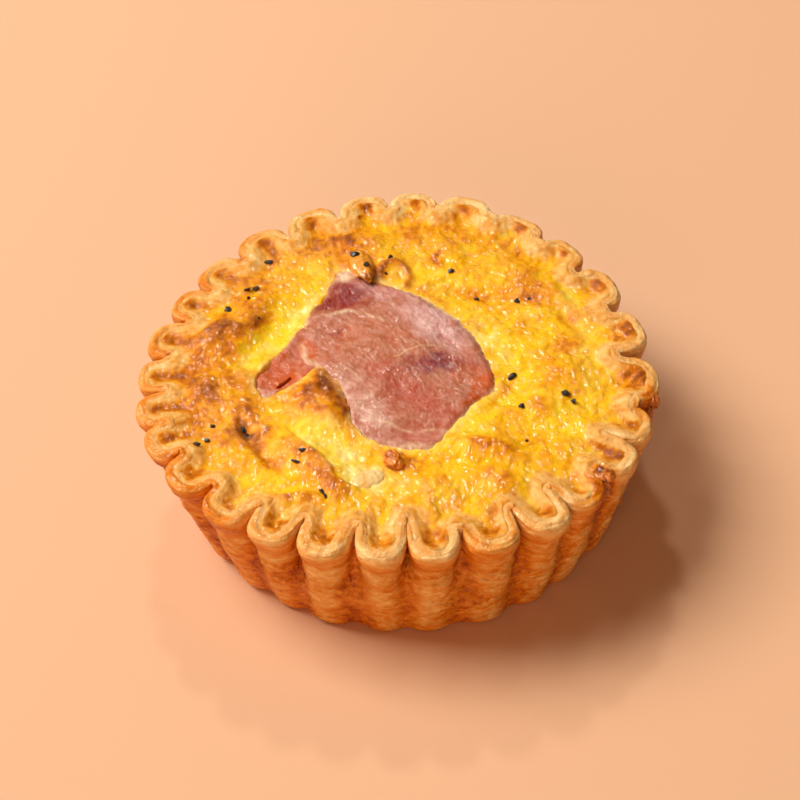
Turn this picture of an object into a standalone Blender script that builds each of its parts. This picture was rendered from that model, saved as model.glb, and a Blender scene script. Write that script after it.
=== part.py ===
"""A small quiche lorraine: a fluted pastry case, baked custard filling and its toppings.

Units are metres, +Z is up and the origin is the centre of the flat underside. The case is a
loft whose plan is a meandering ribbon of dough, the filling is a solid whose top is a relief of
puffed mounds and hollows, and the ham and the small toppings lie in pockets cut in the filling.
"""
import bpy
import bmesh
import numpy as np
from mathutils import Matrix, Vector, noise
from mathutils.geometry import delaunay_2d_cdt

MM = 0.001

# ---- pastry case: driving dimensions --------------------------------------------------------
RIM_RADIUS = 48.5 * MM          # mean radius at the outside of the flutes
RIM_HEIGHT = 27.6 * MM          # top of the dough ribbon above the table
BASE_RADIUS = 42.0 * MM         # outside of the flutes at the table
BASE_SHIFT = 1.3 * MM           # the case has slumped: its foot lies off the rim's centre
BASE_SHIFT_ANGLE = -35.0        # degrees
DOUGH = 2.4 * MM                # thickness of the dough ribbon
FLOOR = 3.0 * MM                # thickness of the bottom crust
FOOT_FOLD = 1.2 * MM            # depth of the folds at the foot
WALL_BULGE = 0.6 * MM           # the wall is slightly barrel shaped
TIGHTEST_FOLD = 0.2 * MM        # radius left at the bottom of a pinched fold

# The rim is a soft rounded triangle, off centre: order, share of the radius, phase in degrees.
RIM_SHAPE = ((1, 0.007, 100.0), (2, 0.0165, 81.6), (3, 0.0238, -98.7))

# The 27 flutes, clockwise seen from above: the angle in degrees of each tip, and the depth in
# millimetres of the fold pinched between it and the next.
FLUTE_ANGLES = (
    98.7, 86.6, 73.9, 58.9, 44.8, 30.1, 13.1, -3.7, -19.0,
    -29.5, -42.8, -54.1, -67.6, -82.1, -94.2, -108.2, -120.1, -132.0,
    -145.1, -156.9, -166.6, -177.2, -190.0, -203.5, -216.4, -232.3, -246.7,
)
FOLD_DEPTHS = (
    3.6, 3.4, 2.6, 3.2, 4.4, 4.2, 6.2, 3.0, 6.4,
    4.0, 6.8, 6.4, 5.0, 8.2, 6.4, 6.6, 5.6, 4.8,
    4.4, 4.2, 4.0, 4.0, 4.4, 4.4, 4.0, 4.6, 4.8,
)
FLUTES = len(FLUTE_ANGLES)
POINTS_PER_FLUTE = 10
LOOP_ROUNDING = 0.045           # squares the meander: wider loops, steeper flanks, in flutes
TIP_WIDENING = 0.06             # makes the tips wide and the folds narrow, in flutes
FOLD_RISE = 0.6 * MM            # the ribbon stands this much higher in the folds than at the tips

# Outside of the case from the table to the rim: height and swell beyond the wall, in mm. The
# top band is a swollen lip.
OUTSIDE = (
    (0.0, -0.9), (0.9, 0.0), (6.5, 0.0), (12.5, 0.0), (18.0, 0.0), (22.4, 0.0),
    (23.4, 0.45), (25.2, 0.9), (26.9, 0.7),
)
# Over the ribbon's top and down to the filling: height, and distance in from its middle, in mm.
INSIDE = ((27.6, 0.05), (27.2, 0.85), (25.8, 1.2))

# ---- filling --------------------------------------------------------------------------------
GAP = 0.3 * MM                  # clearance between separate pieces
FILL_LEVEL = RIM_HEIGHT - 0.4 * MM
FILL_EDGE_DROP = 0.9 * MM       # the filling meets the dough this much lower
FILL_EDGE = (36.0 * MM, 44.0 * MM)
GRID_STEP = 2.3 * MM            # spacing of the points on its top

# Relief of the baked top: x, y, half length, half width (mm), heading (degrees), height (mm).
MOUNDS = (
    (-36.2, 7.2, 7.5, 4.4, 35, 2.1),     # browned puff at the left
    (-28.2, 15.0, 5.5, 2.2, 62, 1.2),    # scorched shoulder above the bright hollow
    (-24.2, 8.6, 13.0, 2.8, 57, -1.2),   # bright hollow between the puff and the ham
    (-14.6, -9.8, 7.5, 4.6, 104, 2.6),   # wedge-shaped puff beside the ham
    (-35.5, -6.5, 7.0, 5.5, 20, 1.3),    # soft swelling at the left
    (-28.8, -15.6, 2.2, 1.2, -66, -1.5), # scorched pit
    (-24.4, -22.2, 5.5, 1.6, -50, -1.2), # crease that runs on from the pit
    (-16.5, -25.0, 8.5, 3.6, -46, 1.8),  # baked skin over the pale hollow
    (-8.0, -22.5, 10.5, 3.2, -45, -2.0), # pale hollow in front of the ham
    (-19.5, -33.6, 4.6, 2.0, 8, 1.2),    # crest at the front left
    (-3.0, 29.0, 5.0, 3.4, 110, 0.9),    # swirl behind the ham
    (-9.5, 35.5, 6.0, 3.4, 0, 0.7),      # browned patch at the back
    (19.0, 19.6, 11.5, 1.8, -8, -0.9),   # long crease at the right
    (33.0, 13.0, 4.5, 1.6, -48, -0.5),   # its turn towards the front
    (21.0, 25.5, 10.0, 4.0, -12, 0.9),   # swelling behind that crease
    (30.0, 2.0, 5.0, 7.5, 10, 0.8),      # swelling at the right
    (26.5, -9.0, 5.0, 3.8, 20, 0.9),     # swelling at the front right
    (15.5, -20.0, 7.0, 2.4, -14, 1.2),   # step in front of the ham
    (17.0, -28.5, 6.5, 3.0, -8, 1.0),    # second step
    (5.0, -31.0, 7.0, 3.2, 8, 0.7),      # low swelling at the front
)
BUMP_HEIGHT = 0.45 * MM         # irregular bumps all over
BUMP_LENGTH = 7.5 * MM

# ---- toppings -------------------------------------------------------------------------------
# Outline of the ham slice, anticlockwise, in millimetres: the torn tongue at the left, the
# notch, the front tip and the long side back to the top corner.
HAM_OUTLINE = (
    (-11.4, 27.8), (-13.8, 23.0), (-15.4, 19.4), (-17.6, 15.6), (-20.4, 9.0), (-25.4, 2.2),
    (-27.8, -2.8), (-25.6, -8.2), (-22.2, -6.8), (-18.6, -4.6), (-15.6, -0.8), (-12.0, -5.4),
    (-9.9, -11.6), (-8.4, -16.4), (-3.8, -20.4), (2.4, -21.6), (7.2, -20.4), (12.6, -12.4),
    (18.2, -5.2), (17.4, 1.0), (14.4, 8.8), (8.2, 15.6), (1.2, 21.2), (-5.2, 24.2),
)
HAM_POINTS_BETWEEN = 2
HAM_THICKNESS = 1.7 * MM
HAM_PROUD = 0.8 * MM            # top of the ham above the filling's level
HAM_STEP = 3.0 * MM
# Soft bends of the slice, laid out like MOUNDS.
HAM_BENDS = (
    (-1.0, 6.0, 16.0, 9.0, 60, 0.9),     # crown of the slice
    (-22.5, -1.0, 9.0, 5.0, 50, -1.0),   # the tongue lies lower
    (-13.0, 17.0, 7.0, 1.8, 15, -0.7),   # dark fold near the top corner
    (1.0, -19.0, 9.0, 4.0, 0, -0.9),     # front tip, bent down
)

# Small pieces: name, x, y, half sizes along, across and up (mm), heading (degrees), lift (mm).
SMALL_PIECES = (
    ("caramelised_bit", -7.2, 27.0, 4.2, 2.3, 1.7, 108, 0.7),
    ("bacon_bit", -0.8, -24.2, 1.9, 1.8, 1.5, 20, 0.4),
    ("onion_piece", -5.9, -28.6, 3.1, 1.8, 0.9, 25, 0.2),
)
PIECE_ROUGHNESS = 0.14          # bumps on a small piece, as a share of its size

# Cracked pepper on the filling: x, y, half length, half width (mm), heading (degrees).
PEPPER = (
    (-26.1, 29.5, 1.1, 0.6, 10), (-28.2, 21.8, 0.9, 0.7, 40), (-29.8, 21.0, 0.7, 0.4, 25),
    (-33.2, 15.6, 0.9, 0.8, 70), (-1.8, 29.4, 0.7, 0.5, 0), (10.1, 26.2, 0.7, 0.45, 0),
    (15.0, 19.4, 0.7, 0.5, -20), (23.0, 18.6, 0.6, 0.5, 0), (31.2, -7.4, 0.8, 0.6, 0),
    (32.6, -9.2, 0.6, 0.6, 45), (22.9, -10.6, 0.7, 0.6, -40), (21.3, -2.4, 1.1, 0.5, 45),
    (-17.7, -22.6, 0.7, 0.5, 0), (-19.0, -24.8, 0.8, 0.4, -10), (-37.5, -20.0, 0.9, 0.4, -10),
    (-35.4, -18.8, 0.6, 0.4, -30), (-34.6, -15.2, 0.6, 0.4, 0), (-14.0, -31.6, 0.8, 0.4, -50),
)
PEPPER_HEIGHT = 0.45            # half height, as a share of the half length

# Filling that boiled over the rim: centre x, y, z, half sizes (mm) and heading (degrees).
OVERFLOW = (
    (37.4, -26.8, 27.2, 2.5, 2.0, 1.0, -36),
    (37.7, -28.2, 24.4, 1.3, 1.3, 3.0, -37),
    (47.6, -7.0, 25.4, 1.5, 1.2, 1.7, -10),
    (46.7, -8.2, 22.8, 1.3, 1.0, 2.6, -10),
)

# ---- finishes: base colour and roughness ----------------------------------------------------
FINISHES = {
    "pastry": ((0.62, 0.30, 0.09, 1.0), 0.50),
    "custard": ((0.85, 0.43, 0.04, 1.0), 0.32),
    "ham": ((0.52, 0.16, 0.11, 1.0), 0.38),
    "caramel": ((0.30, 0.07, 0.01, 1.0), 0.25),
    "bacon": ((0.36, 0.06, 0.02, 1.0), 0.30),
    "onion": ((0.80, 0.52, 0.24, 1.0), 0.35),
}


# ---- helpers --------------------------------------------------------------------------------
def clear_scene():
    """Remove the objects of the start-up scene."""
    for item in list(bpy.data.objects):
        bpy.data.objects.remove(item, do_unlink=True)


def new_collection(name):
    """Collection linked to the scene."""
    collection = bpy.data.collections.new(name)
    bpy.context.scene.collection.children.link(collection)
    return collection


def finish(name):
    """Principled material of one base colour and roughness."""
    colour, roughness = FINISHES[name]
    material = bpy.data.materials.new(name)
    material.use_nodes = True
    shader = material.node_tree.nodes["Principled BSDF"]
    shader.inputs["Base Color"].default_value = colour
    shader.inputs["Roughness"].default_value = roughness
    shader.inputs["Metallic"].default_value = 0.0
    material.diffuse_color = colour
    return material


def add_object(name, points, faces, collection, material=None):
    """Mesh object from points and faces, its faces turned outwards and shaded smooth."""
    mesh = bpy.data.meshes.new(name)
    mesh.from_pydata([tuple(point) for point in points], [], [tuple(face) for face in faces])
    solid = bmesh.new()
    solid.from_mesh(mesh)
    bmesh.ops.recalc_face_normals(solid, faces=solid.faces)
    solid.to_mesh(mesh)
    solid.free()
    mesh.shade_smooth()
    mesh.set_sharp_from_angle(angle=np.radians(55.0))
    if material:
        mesh.materials.append(material)
    item = bpy.data.objects.new(name, mesh)
    collection.objects.link(item)
    return item


def smooth_step(low, high, value):
    """0 below low, 1 above high, with a soft S between them."""
    share = np.clip((value - low) / (high - low), 0.0, 1.0)
    return share * share * (3.0 - 2.0 * share)


def closed_curve(values, at):
    """Smooth closed curve through equally spaced values, read at the given positions."""
    values = np.asarray(values, float)
    start = np.floor(at).astype(int)
    share = at - start
    if values.ndim == 2:
        share = share[:, None]
    before, here, after, beyond = (values[(start + step) % len(values)] for step in (-1, 0, 1, 2))
    cubic = share * (3.0 * (here - after) + beyond - before)
    square = share * (2.0 * before - 5.0 * here + 4.0 * after - beyond + cubic)
    return here + 0.5 * share * (after - before + square)


def outward_normals(plan):
    """Unit normals of a closed plan curve that runs clockwise, pointing outwards."""
    along = np.roll(plan, -1, axis=0) - np.roll(plan, 1, axis=0)
    normal = np.stack([-along[:, 1], along[:, 0]], axis=1)
    return normal / np.linalg.norm(normal, axis=1)[:, None]


def bending(plan):
    """Curvature of a closed plan curve that runs clockwise, positive round a flute tip."""
    step = np.linalg.norm(np.roll(plan, -1, axis=0) - plan, axis=1)
    back = np.roll(step, 1)
    ahead = (np.roll(plan, -1, axis=0) - plan) / step[:, None]
    behind = np.roll(ahead, 1, axis=0)
    turn = ahead[:, 0] * behind[:, 1] - ahead[:, 1] * behind[:, 0]
    return turn * 2.0 / (step + back)


def beside(plan, distance):
    """Plan curve moved sideways, outwards if positive, and less where it would cross itself."""
    curve = -bending(plan) * np.sign(distance)
    room = np.where(curve > 0.0, 1.0 / np.maximum(curve, 1e-6), 1.0) - TIGHTEST_FOLD
    shift = np.sign(distance) * np.minimum(abs(distance), np.maximum(room, 0.0))
    return plan + outward_normals(plan) * shift[:, None]


def at_height(plan, height):
    """Ring of points of one plan curve at a height, or at a height for each point."""
    return np.column_stack([plan, np.broadcast_to(height, len(plan))])


def inside(points, outline):
    """True for the points that lie inside a closed outline, counting crossings."""
    x, y = points[:, 0][:, None], points[:, 1][:, None]
    x0, y0 = outline[:, 0], outline[:, 1]
    x1, y1 = np.roll(x0, -1), np.roll(y0, -1)
    spans = (y0 > y) != (y1 > y)
    rise = np.where(y1 == y0, 1.0, y1 - y0)
    crosses = spans & (x < (x1 - x0) * (y - y0) / rise + x0)
    return crosses.sum(axis=1) % 2 == 1


def staggered_grid(outline, step, margin):
    """Points in staggered rows inside an outline, at least a margin away from its points."""
    low, high = outline.min(axis=0), outline.max(axis=0)
    rows = np.arange(low[1], high[1], step * np.sqrt(3.0) / 2.0)
    points = []
    for number, y in enumerate(rows):
        x = np.arange(low[0] + step * 0.5 * (number % 2), high[0], step)
        points.append(np.column_stack([x, np.full(len(x), y)]))
    points = np.concatenate(points)
    points = points[inside(points, outline)]
    clear = np.linalg.norm(points[:, None, :] - outline[None, :, :], axis=2).min(axis=1)
    return points[clear > margin]


def sheet(outline, step):
    """Triangles that fill an outline: plan points with the outline's first, and the faces."""
    points = np.concatenate([outline, staggered_grid(outline, step, 0.55 * step)])
    border = list(range(len(outline)))
    flat = [Vector(point) for point in points]
    made = delaunay_2d_cdt(flat, [], [border], 1, 1e-9)
    place = [origin[0] for origin in made[3]]
    return points, [[place[corner] for corner in face] for face in made[2]]


def slab(outline, step, top, bottom):
    """Closed solid between two height functions over one outline: its points and faces."""
    plan, faces = sheet(outline, step)
    count = len(plan)
    upper = at_height(plan, top(plan[:, 0], plan[:, 1]))
    lower = at_height(plan, bottom(plan[:, 0], plan[:, 1]))
    under = [[corner + count for corner in reversed(face)] for face in faces]
    edge = range(len(outline))
    after = [*edge[1:], 0]
    sides = [(a, b, b + count, a + count) for a, b in zip(edge, after)]
    return np.concatenate([upper, lower]), faces + under + sides


def relief(x, y, features):
    """Sum of soft oval hills: height * exp(-(along/length)^4 ...) with rounded flanks."""
    total = np.zeros_like(x)
    for centre_x, centre_y, length, width, heading, height in features:
        turn = np.radians(heading)
        dx, dy = x / MM - centre_x, y / MM - centre_y
        along = (dx * np.cos(turn) + dy * np.sin(turn)) / length
        across = (dy * np.cos(turn) - dx * np.sin(turn)) / width
        reach = along * along + across * across
        total = total + height * MM * np.exp(-0.9 * reach ** 1.5)
    return total


def bumps(x, y):
    """Irregular bumps: smooth noise of one wavelength, with half of it at half the length."""
    places = np.stack([x, y], axis=-1).reshape(-1, 2) / BUMP_LENGTH
    values = [
        noise.noise(Vector((px, py, 3.7))) + 0.5 * noise.noise(Vector((2 * px, 2 * py, 9.1)))
        for px, py in places
    ]
    return BUMP_HEIGHT * 1.4 * np.reshape(values, x.shape)


# ---- pastry case ----------------------------------------------------------------------------
def flute_positions():
    """Place of every sample in flutes: whole numbers are flute tips, halves are folds."""
    return np.arange(FLUTES * POINTS_PER_FLUTE) / POINTS_PER_FLUTE


def ribbon(height, fold):
    """Middle of the dough ribbon at a height. Fold is 0 at foot depth and 1 at full depth."""
    at = flute_positions()
    pitch = 360.0 / FLUTES
    drift = np.asarray(FLUTE_ANGLES) + pitch * np.arange(FLUTES)
    loops = LOOP_ROUNDING * np.sin(4.0 * np.pi * at) + TIP_WIDENING * np.sin(2.0 * np.pi * at)
    along = at + fold * loops
    angle = np.radians(closed_curve(drift, along) - pitch * along)
    share = sum(size * np.cos(order * angle - np.radians(phase)) for order, size, phase in RIM_SHAPE)
    rim = RIM_RADIUS * (1.0 + share)
    foot = BASE_RADIUS + BASE_SHIFT * np.cos(angle - np.radians(BASE_SHIFT_ANGLE))
    rise = height / RIM_HEIGHT
    tip = foot + (rim - foot) * rise + WALL_BULGE * np.sin(np.pi * rise)
    depth = FOOT_FOLD + fold * (closed_curve(FOLD_DEPTHS, at - 0.5) * MM - FOOT_FOLD)
    radius = tip - 0.5 * DOUGH - depth * 0.5 * (1.0 - np.cos(2.0 * np.pi * at))
    return np.column_stack([radius * np.cos(angle), radius * np.sin(angle)])


def droop(rise):
    """How far the flute tips hang below the folds: all of FOLD_RISE at the rim, none below."""
    tips = 0.5 * (1.0 + np.cos(2.0 * np.pi * flute_positions()))
    return FOLD_RISE * tips * smooth_step(0.75, 1.0, rise)


def outer_ring(height, swell):
    """Ring on the outside of the case. The folds deepen from the foot to the rim."""
    rise = height / RIM_HEIGHT
    plan = beside(ribbon(height, smooth_step(0.35, 0.95, rise)), 0.5 * DOUGH + swell)
    return at_height(plan, height - droop(rise))


def inner_plan(height, inset):
    """Plan on the inside of the case, with its folds full at the rim and low at the floor."""
    return beside(ribbon(height, (height - FLOOR) / (RIM_HEIGHT - FLOOR)), -inset)


def loft(rings):
    """Points and faces of the surface through successive rings, closed by a face at each end."""
    count = len(rings[0])
    faces = [tuple(range(count))]
    for level in range(len(rings) - 1):
        first, second = level * count, (level + 1) * count
        for side in range(count):
            after = (side + 1) % count
            faces.append((first + side, first + after, second + after, second + side))
    faces.append(tuple((len(rings) - 1) * count + side for side in range(count)))
    return np.concatenate(rings), faces


def add_pastry_case(collection, material):
    """Fluted case: up the outside, over the ribbon, down the inside to the floor."""
    rings = [outer_ring(height * MM, swell * MM) for height, swell in OUTSIDE]
    for height, inset in INSIDE:
        sunk = height * MM - droop(height * MM / RIM_HEIGHT)
        rings.append(at_height(inner_plan(height * MM, inset * MM), sunk))
    rings.append(at_height(inner_plan(FLOOR, 0.5 * DOUGH), FLOOR))
    points, faces = loft(rings)
    return add_object("pastry_case", points, faces, collection, material)


# ---- filling and toppings -------------------------------------------------------------------
def filling_top(x, y):
    """Height of the baked filling: nearly level, lower at the dough, with its relief."""
    edge = smooth_step(FILL_EDGE[0], FILL_EDGE[1], np.hypot(x, y))
    return FILL_LEVEL - FILL_EDGE_DROP * edge + (relief(x, y, MOUNDS) + bumps(x, y)) * (1.0 - 0.6 * edge)


def add_filling(collection, material):
    """Baked custard: its relief on top, filling the case down to the floor."""
    top_outline = inner_plan(RIM_HEIGHT - 1.8 * MM, 0.5 * DOUGH + GAP * 1.2)
    floor_outline = inner_plan(FLOOR, 0.5 * DOUGH + GAP * 1.2)
    plan, faces = sheet(top_outline, GRID_STEP)
    count = len(top_outline)
    top = at_height(plan, filling_top(plan[:, 0], plan[:, 1]))
    floor = at_height(floor_outline, FLOOR + GAP)
    first = len(plan)
    for side in range(count):
        after = (side + 1) % count
        faces.append((side, after, first + after, first + side))
    faces.append(tuple(first + side for side in range(count)))
    return add_object("custard_filling", np.concatenate([top, floor]), faces, collection, material)


def ham_top(x, y):
    """Height of the top of the ham: level with soft bends."""
    return FILL_LEVEL + HAM_PROUD + relief(x, y, HAM_BENDS)


def ham_outline(grow=0.0):
    """Smooth outline of the slice, clockwise, moved outwards by grow."""
    at = np.arange(len(HAM_OUTLINE) * HAM_POINTS_BETWEEN) / HAM_POINTS_BETWEEN
    outline = closed_curve(HAM_OUTLINE, at)[::-1] * MM
    return outline + outward_normals(outline) * grow


def add_ham(name, collection, material=None, grow=0.0, above=0.0):
    """The slice, or a cutter for its pocket: grown sideways and below, and raised above."""
    def top(x, y):
        return ham_top(x, y) + above

    def bottom(x, y):
        return ham_top(x, y) - HAM_THICKNESS - grow

    points, faces = slab(ham_outline(grow), HAM_STEP, top, bottom)
    return add_object(name, points, faces, collection, material)


def add_lump(name, centre, half_sizes, heading, collection, material=None, grow=0.0, detail=2):
    """Uneven rounded lump: an icosphere pushed in and out by noise, stretched and turned."""
    mesh = bpy.data.meshes.new(name)
    solid = bmesh.new()
    bmesh.ops.create_icosphere(solid, subdivisions=detail, radius=1.0)
    for vertex in solid.verts:
        push = noise.noise(vertex.co * 1.3 + Vector(centre) / MM)
        vertex.co *= 1.0 + PIECE_ROUGHNESS * push
        vertex.co = Vector([side * (half + grow) for side, half in zip(vertex.co, half_sizes)])
    turn = Matrix.Rotation(np.radians(heading), 4, "Z")
    bmesh.ops.transform(solid, matrix=Matrix.Translation(centre) @ turn, verts=solid.verts)
    solid.to_mesh(mesh)
    solid.free()
    mesh.shade_smooth()
    if material:
        mesh.materials.append(material)
    item = bpy.data.objects.new(name, mesh)
    collection.objects.link(item)
    return item


def on_filling(x, y, lift=0.0):
    """Point on the filling at a plan position in millimetres, raised by a lift."""
    height = filling_top(np.array([x * MM]), np.array([y * MM]))[0]
    return Vector((x * MM, y * MM, height + lift * MM))


def boolean(target, operation, cutters):
    """Boolean of a target with every object of a collection, applied at once."""
    modifier = target.modifiers.new(operation.title(), "BOOLEAN")
    modifier.operand_type = "COLLECTION"
    modifier.collection = cutters
    modifier.operation = operation
    modifier.solver = "EXACT"
    bpy.context.view_layer.update()
    evaluated = target.evaluated_get(bpy.context.evaluated_depsgraph_get())
    applied = bpy.data.meshes.new_from_object(evaluated)
    target.modifiers.clear()
    replaced = target.data
    target.data = applied
    bpy.data.meshes.remove(replaced)


def empty_collection(collection):
    """Remove the objects of a collection and the collection itself."""
    for item in list(collection.objects):
        bpy.data.objects.remove(item, do_unlink=True)
    bpy.data.collections.remove(collection)


def add_small_pieces(collection, finishes):
    """Caramelised bit behind the ham, bacon bit and onion piece in front of it."""
    for (name, x, y, along, across, up, heading, lift), material in zip(SMALL_PIECES, finishes):
        half_sizes = (along * MM, across * MM, up * MM)
        add_lump(name, on_filling(x, y, lift), half_sizes, heading, collection, material)


def cut_pockets(filling, ham):
    """Sink the ham and the small pieces into the filling, each with a clearance round it."""
    pockets = new_collection("pockets")
    for name, x, y, along, across, up, heading, lift in SMALL_PIECES:
        half_sizes = (along * MM, across * MM, up * MM)
        add_lump(name + "_pocket", on_filling(x, y, lift), half_sizes, heading, pockets, grow=GAP * 1.3)
    boolean(ham, "DIFFERENCE", pockets)
    add_ham("ham_pocket", pockets, grow=GAP * 1.2, above=8.0 * MM)
    boolean(filling, "DIFFERENCE", pockets)
    empty_collection(pockets)


def fuse_pepper(filling):
    """Flat cracked grains half sunk in the filling, joined to it."""
    grains = new_collection("pepper")
    for number, (x, y, along, across, heading) in enumerate(PEPPER):
        half_sizes = (along * MM, across * MM, along * PEPPER_HEIGHT * MM)
        place = on_filling(x, y, 0.15)
        add_lump("grain_%02d" % number, place, half_sizes, heading, grains, detail=1)
    boolean(filling, "UNION", grains)
    empty_collection(grains)


def fuse_overflow(case):
    """Lumps of filling that boiled over the rim and down two of the folds, joined to the case."""
    lumps = new_collection("overflow")
    for number, (x, y, z, along, across, up, heading) in enumerate(OVERFLOW):
        half_sizes = (along * MM, across * MM, up * MM)
        centre = Vector((x * MM, y * MM, z * MM))
        add_lump("lump_%d" % number, centre, half_sizes, heading, lumps)
    boolean(case, "UNION", lumps)
    empty_collection(lumps)


def main():
    """Build the quiche."""
    clear_scene()
    quiche = new_collection("quiche_lorraine")
    case = add_pastry_case(quiche, finish("pastry"))
    fuse_overflow(case)
    filling = add_filling(quiche, finish("custard"))
    ham = add_ham("ham_slice", quiche, finish("ham"))
    add_small_pieces(quiche, [finish("caramel"), finish("bacon"), finish("onion")])
    cut_pockets(filling, ham)
    fuse_pepper(filling)


main()
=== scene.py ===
"""The finished surfaces of a small quiche lorraine, laid out as an add-on and run as a script.

Every piece is a surface worked out on a grid with numpy. Lengths are metres, +Z is up and the
origin is the centre of the flat underside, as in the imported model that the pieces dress.
"""

import bpy
import numpy as np
from bpy.props import FloatProperty, FloatVectorProperty, IntProperty, PointerProperty
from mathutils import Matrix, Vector


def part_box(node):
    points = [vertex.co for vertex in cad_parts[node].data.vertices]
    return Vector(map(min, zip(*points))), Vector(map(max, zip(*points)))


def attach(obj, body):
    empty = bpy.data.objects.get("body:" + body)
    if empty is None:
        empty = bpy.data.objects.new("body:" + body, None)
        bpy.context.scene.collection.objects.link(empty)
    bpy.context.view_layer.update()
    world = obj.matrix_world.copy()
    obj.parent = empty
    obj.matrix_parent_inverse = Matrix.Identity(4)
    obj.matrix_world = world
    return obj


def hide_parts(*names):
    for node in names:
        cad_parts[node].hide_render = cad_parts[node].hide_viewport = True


bl_info = {
    "name": "Quiche Lorraine",
    "version": (1, 0, 0),
    "blender": (4, 5, 0),
    "location": "3D View > Sidebar > Quiche",
    "description": "Builds the baked surfaces of a small quiche lorraine",
    "category": "Add Mesh",
}

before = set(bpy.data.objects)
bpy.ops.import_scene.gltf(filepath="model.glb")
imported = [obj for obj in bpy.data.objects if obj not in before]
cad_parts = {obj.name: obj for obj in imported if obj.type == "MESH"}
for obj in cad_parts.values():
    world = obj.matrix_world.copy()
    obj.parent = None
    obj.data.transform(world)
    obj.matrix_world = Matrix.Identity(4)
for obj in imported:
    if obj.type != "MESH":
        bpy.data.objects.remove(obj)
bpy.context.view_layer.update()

MM = 0.001
BODY = "root"

# ---- pastry case ----------------------------------------------------------------------------
RIM_HEIGHT = 27.6 * MM
FLOOR = 3.0 * MM
FOOT_FOLD = 1.2 * MM            # depth of the folds at the foot
LOOP_ROUNDING = 0.045           # squares the meander: wider loops, steeper flanks, in flutes
TIP_WIDENING = 0.06             # makes the tips wide and the folds narrow, in flutes
WALL_BULGE = 0.6 * MM
TIGHTEST_FOLD = 0.2 * MM
FLANK_STEEPNESS = 0.06          # share of the third harmonic that rounds the tips and folds
RIM_SHAPE = ((1, 0.007, 100.0), (2, 0.0165, 81.6), (3, 0.0238, -98.7))

# Angle of each flute tip in degrees, clockwise from the back, and the depth in millimetres of
# the fold between it and the next.
FLUTE_ANGLES = (
    98.7, 86.6, 73.9, 58.9, 44.8, 30.1, 13.1, -3.7, -19.0,
    -29.5, -42.8, -54.1, -67.6, -82.1, -94.2, -108.2, -120.1, -132.0,
    -145.1, -156.9, -166.6, -177.2, -190.0, -203.5, -216.4, -232.3, -246.7,
)
FOLD_DEPTHS = (
    3.6, 3.4, 2.6, 3.2, 4.4, 4.2, 6.2, 3.0, 6.4,
    4.0, 6.8, 6.4, 5.0, 8.2, 6.4, 6.6, 5.6, 4.8,
    4.4, 4.2, 4.0, 4.0, 4.4, 4.4, 4.0, 4.6, 4.8,
)
FLUTES = len(FLUTE_ANGLES)
FLUTE_WIDTH = 11.0              # mm along the rim from one flute to the next, roughly
CRUST_POINTS_PER_FLUTE = 36
HALF_DOUGH = 1.2                # mm from the ribbon's middle to the faces of the wall
CREASE_HEIGHT = 22.3            # mm above the table, where the lip swells out from the wall
LIP_HEIGHT = 22.9               # mm above the table, where the lip's lower edge strays most
SEAM_HEIGHT = 26.9              # mm above the table, over which the line between layers shows

# Outline of the case from the middle of its underside, up the wall, over the ribbon and down
# the inside: share of the way in to the middle, height (mm), distance out from the ribbon's
# middle (mm), and rows to the next corner.
CRUST_PROFILE = (
    (0.99, 0.0, 0.0, 1), (0.5, 0.0, 0.0, 2), (0.0, 0.0, -0.1, 2), (0.0, 0.25, 0.85, 2),
    (0.0, 1.2, 1.2, 20), (0.0, 8.0, 1.2, 22), (0.0, 16.0, 1.2, 18), (0.0, 22.3, 1.15, 3),
    (0.0, 22.9, 1.6, 6), (0.0, 25.0, 2.05, 5), (0.0, 26.5, 2.0, 4), (0.0, 27.25, 1.7, 3),
    (0.0, 27.6, 1.1, 3), (0.0, 27.7, 0.3, 3), (0.0, 27.62, -0.6, 2), (0.0, 27.2, -1.15, 2),
    (0.0, 25.5, -1.2, 1), (0.0, 3.0, -1.2, 1), (0.5, 3.0, -1.2, 1), (0.99, 3.0, -1.2, 0),
)

# ---- filling --------------------------------------------------------------------------------
FILL_LEVEL = RIM_HEIGHT - 0.4 * MM
FILL_EDGE = (36.0 * MM, 44.0 * MM)     # the filling falls away between these radii
FILL_EDGE_DROP = 0.9 * MM       # and is this much lower at the outer one
FILL_GRID = 308                 # cells along each side of the filling's square grid
FILL_CORE = 33.0 * MM           # inside this radius the grid is a plain disc
FILL_REACH = 44.0 * MM          # radius that the whole grid stands for
FILL_OVERLAP = 0.1 * MM         # how far the filling reaches into the dough
OUTLINE_POINTS = 8 * 1080       # points round its outline that flute numbers are looked up on
FILL_FOOT = FLOOR + 0.5 * MM    # height of the filling's flat underside
FILL_FOOT_FOLD = 0.15           # how deep the folds are there, as in ribbon
FILL_FOOT_SHARE = 0.955         # its size as a share of the ribbon's there
BUMP_HEIGHT = 0.45 * MM
BUMP_LENGTH = 7.5 * MM

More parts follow.
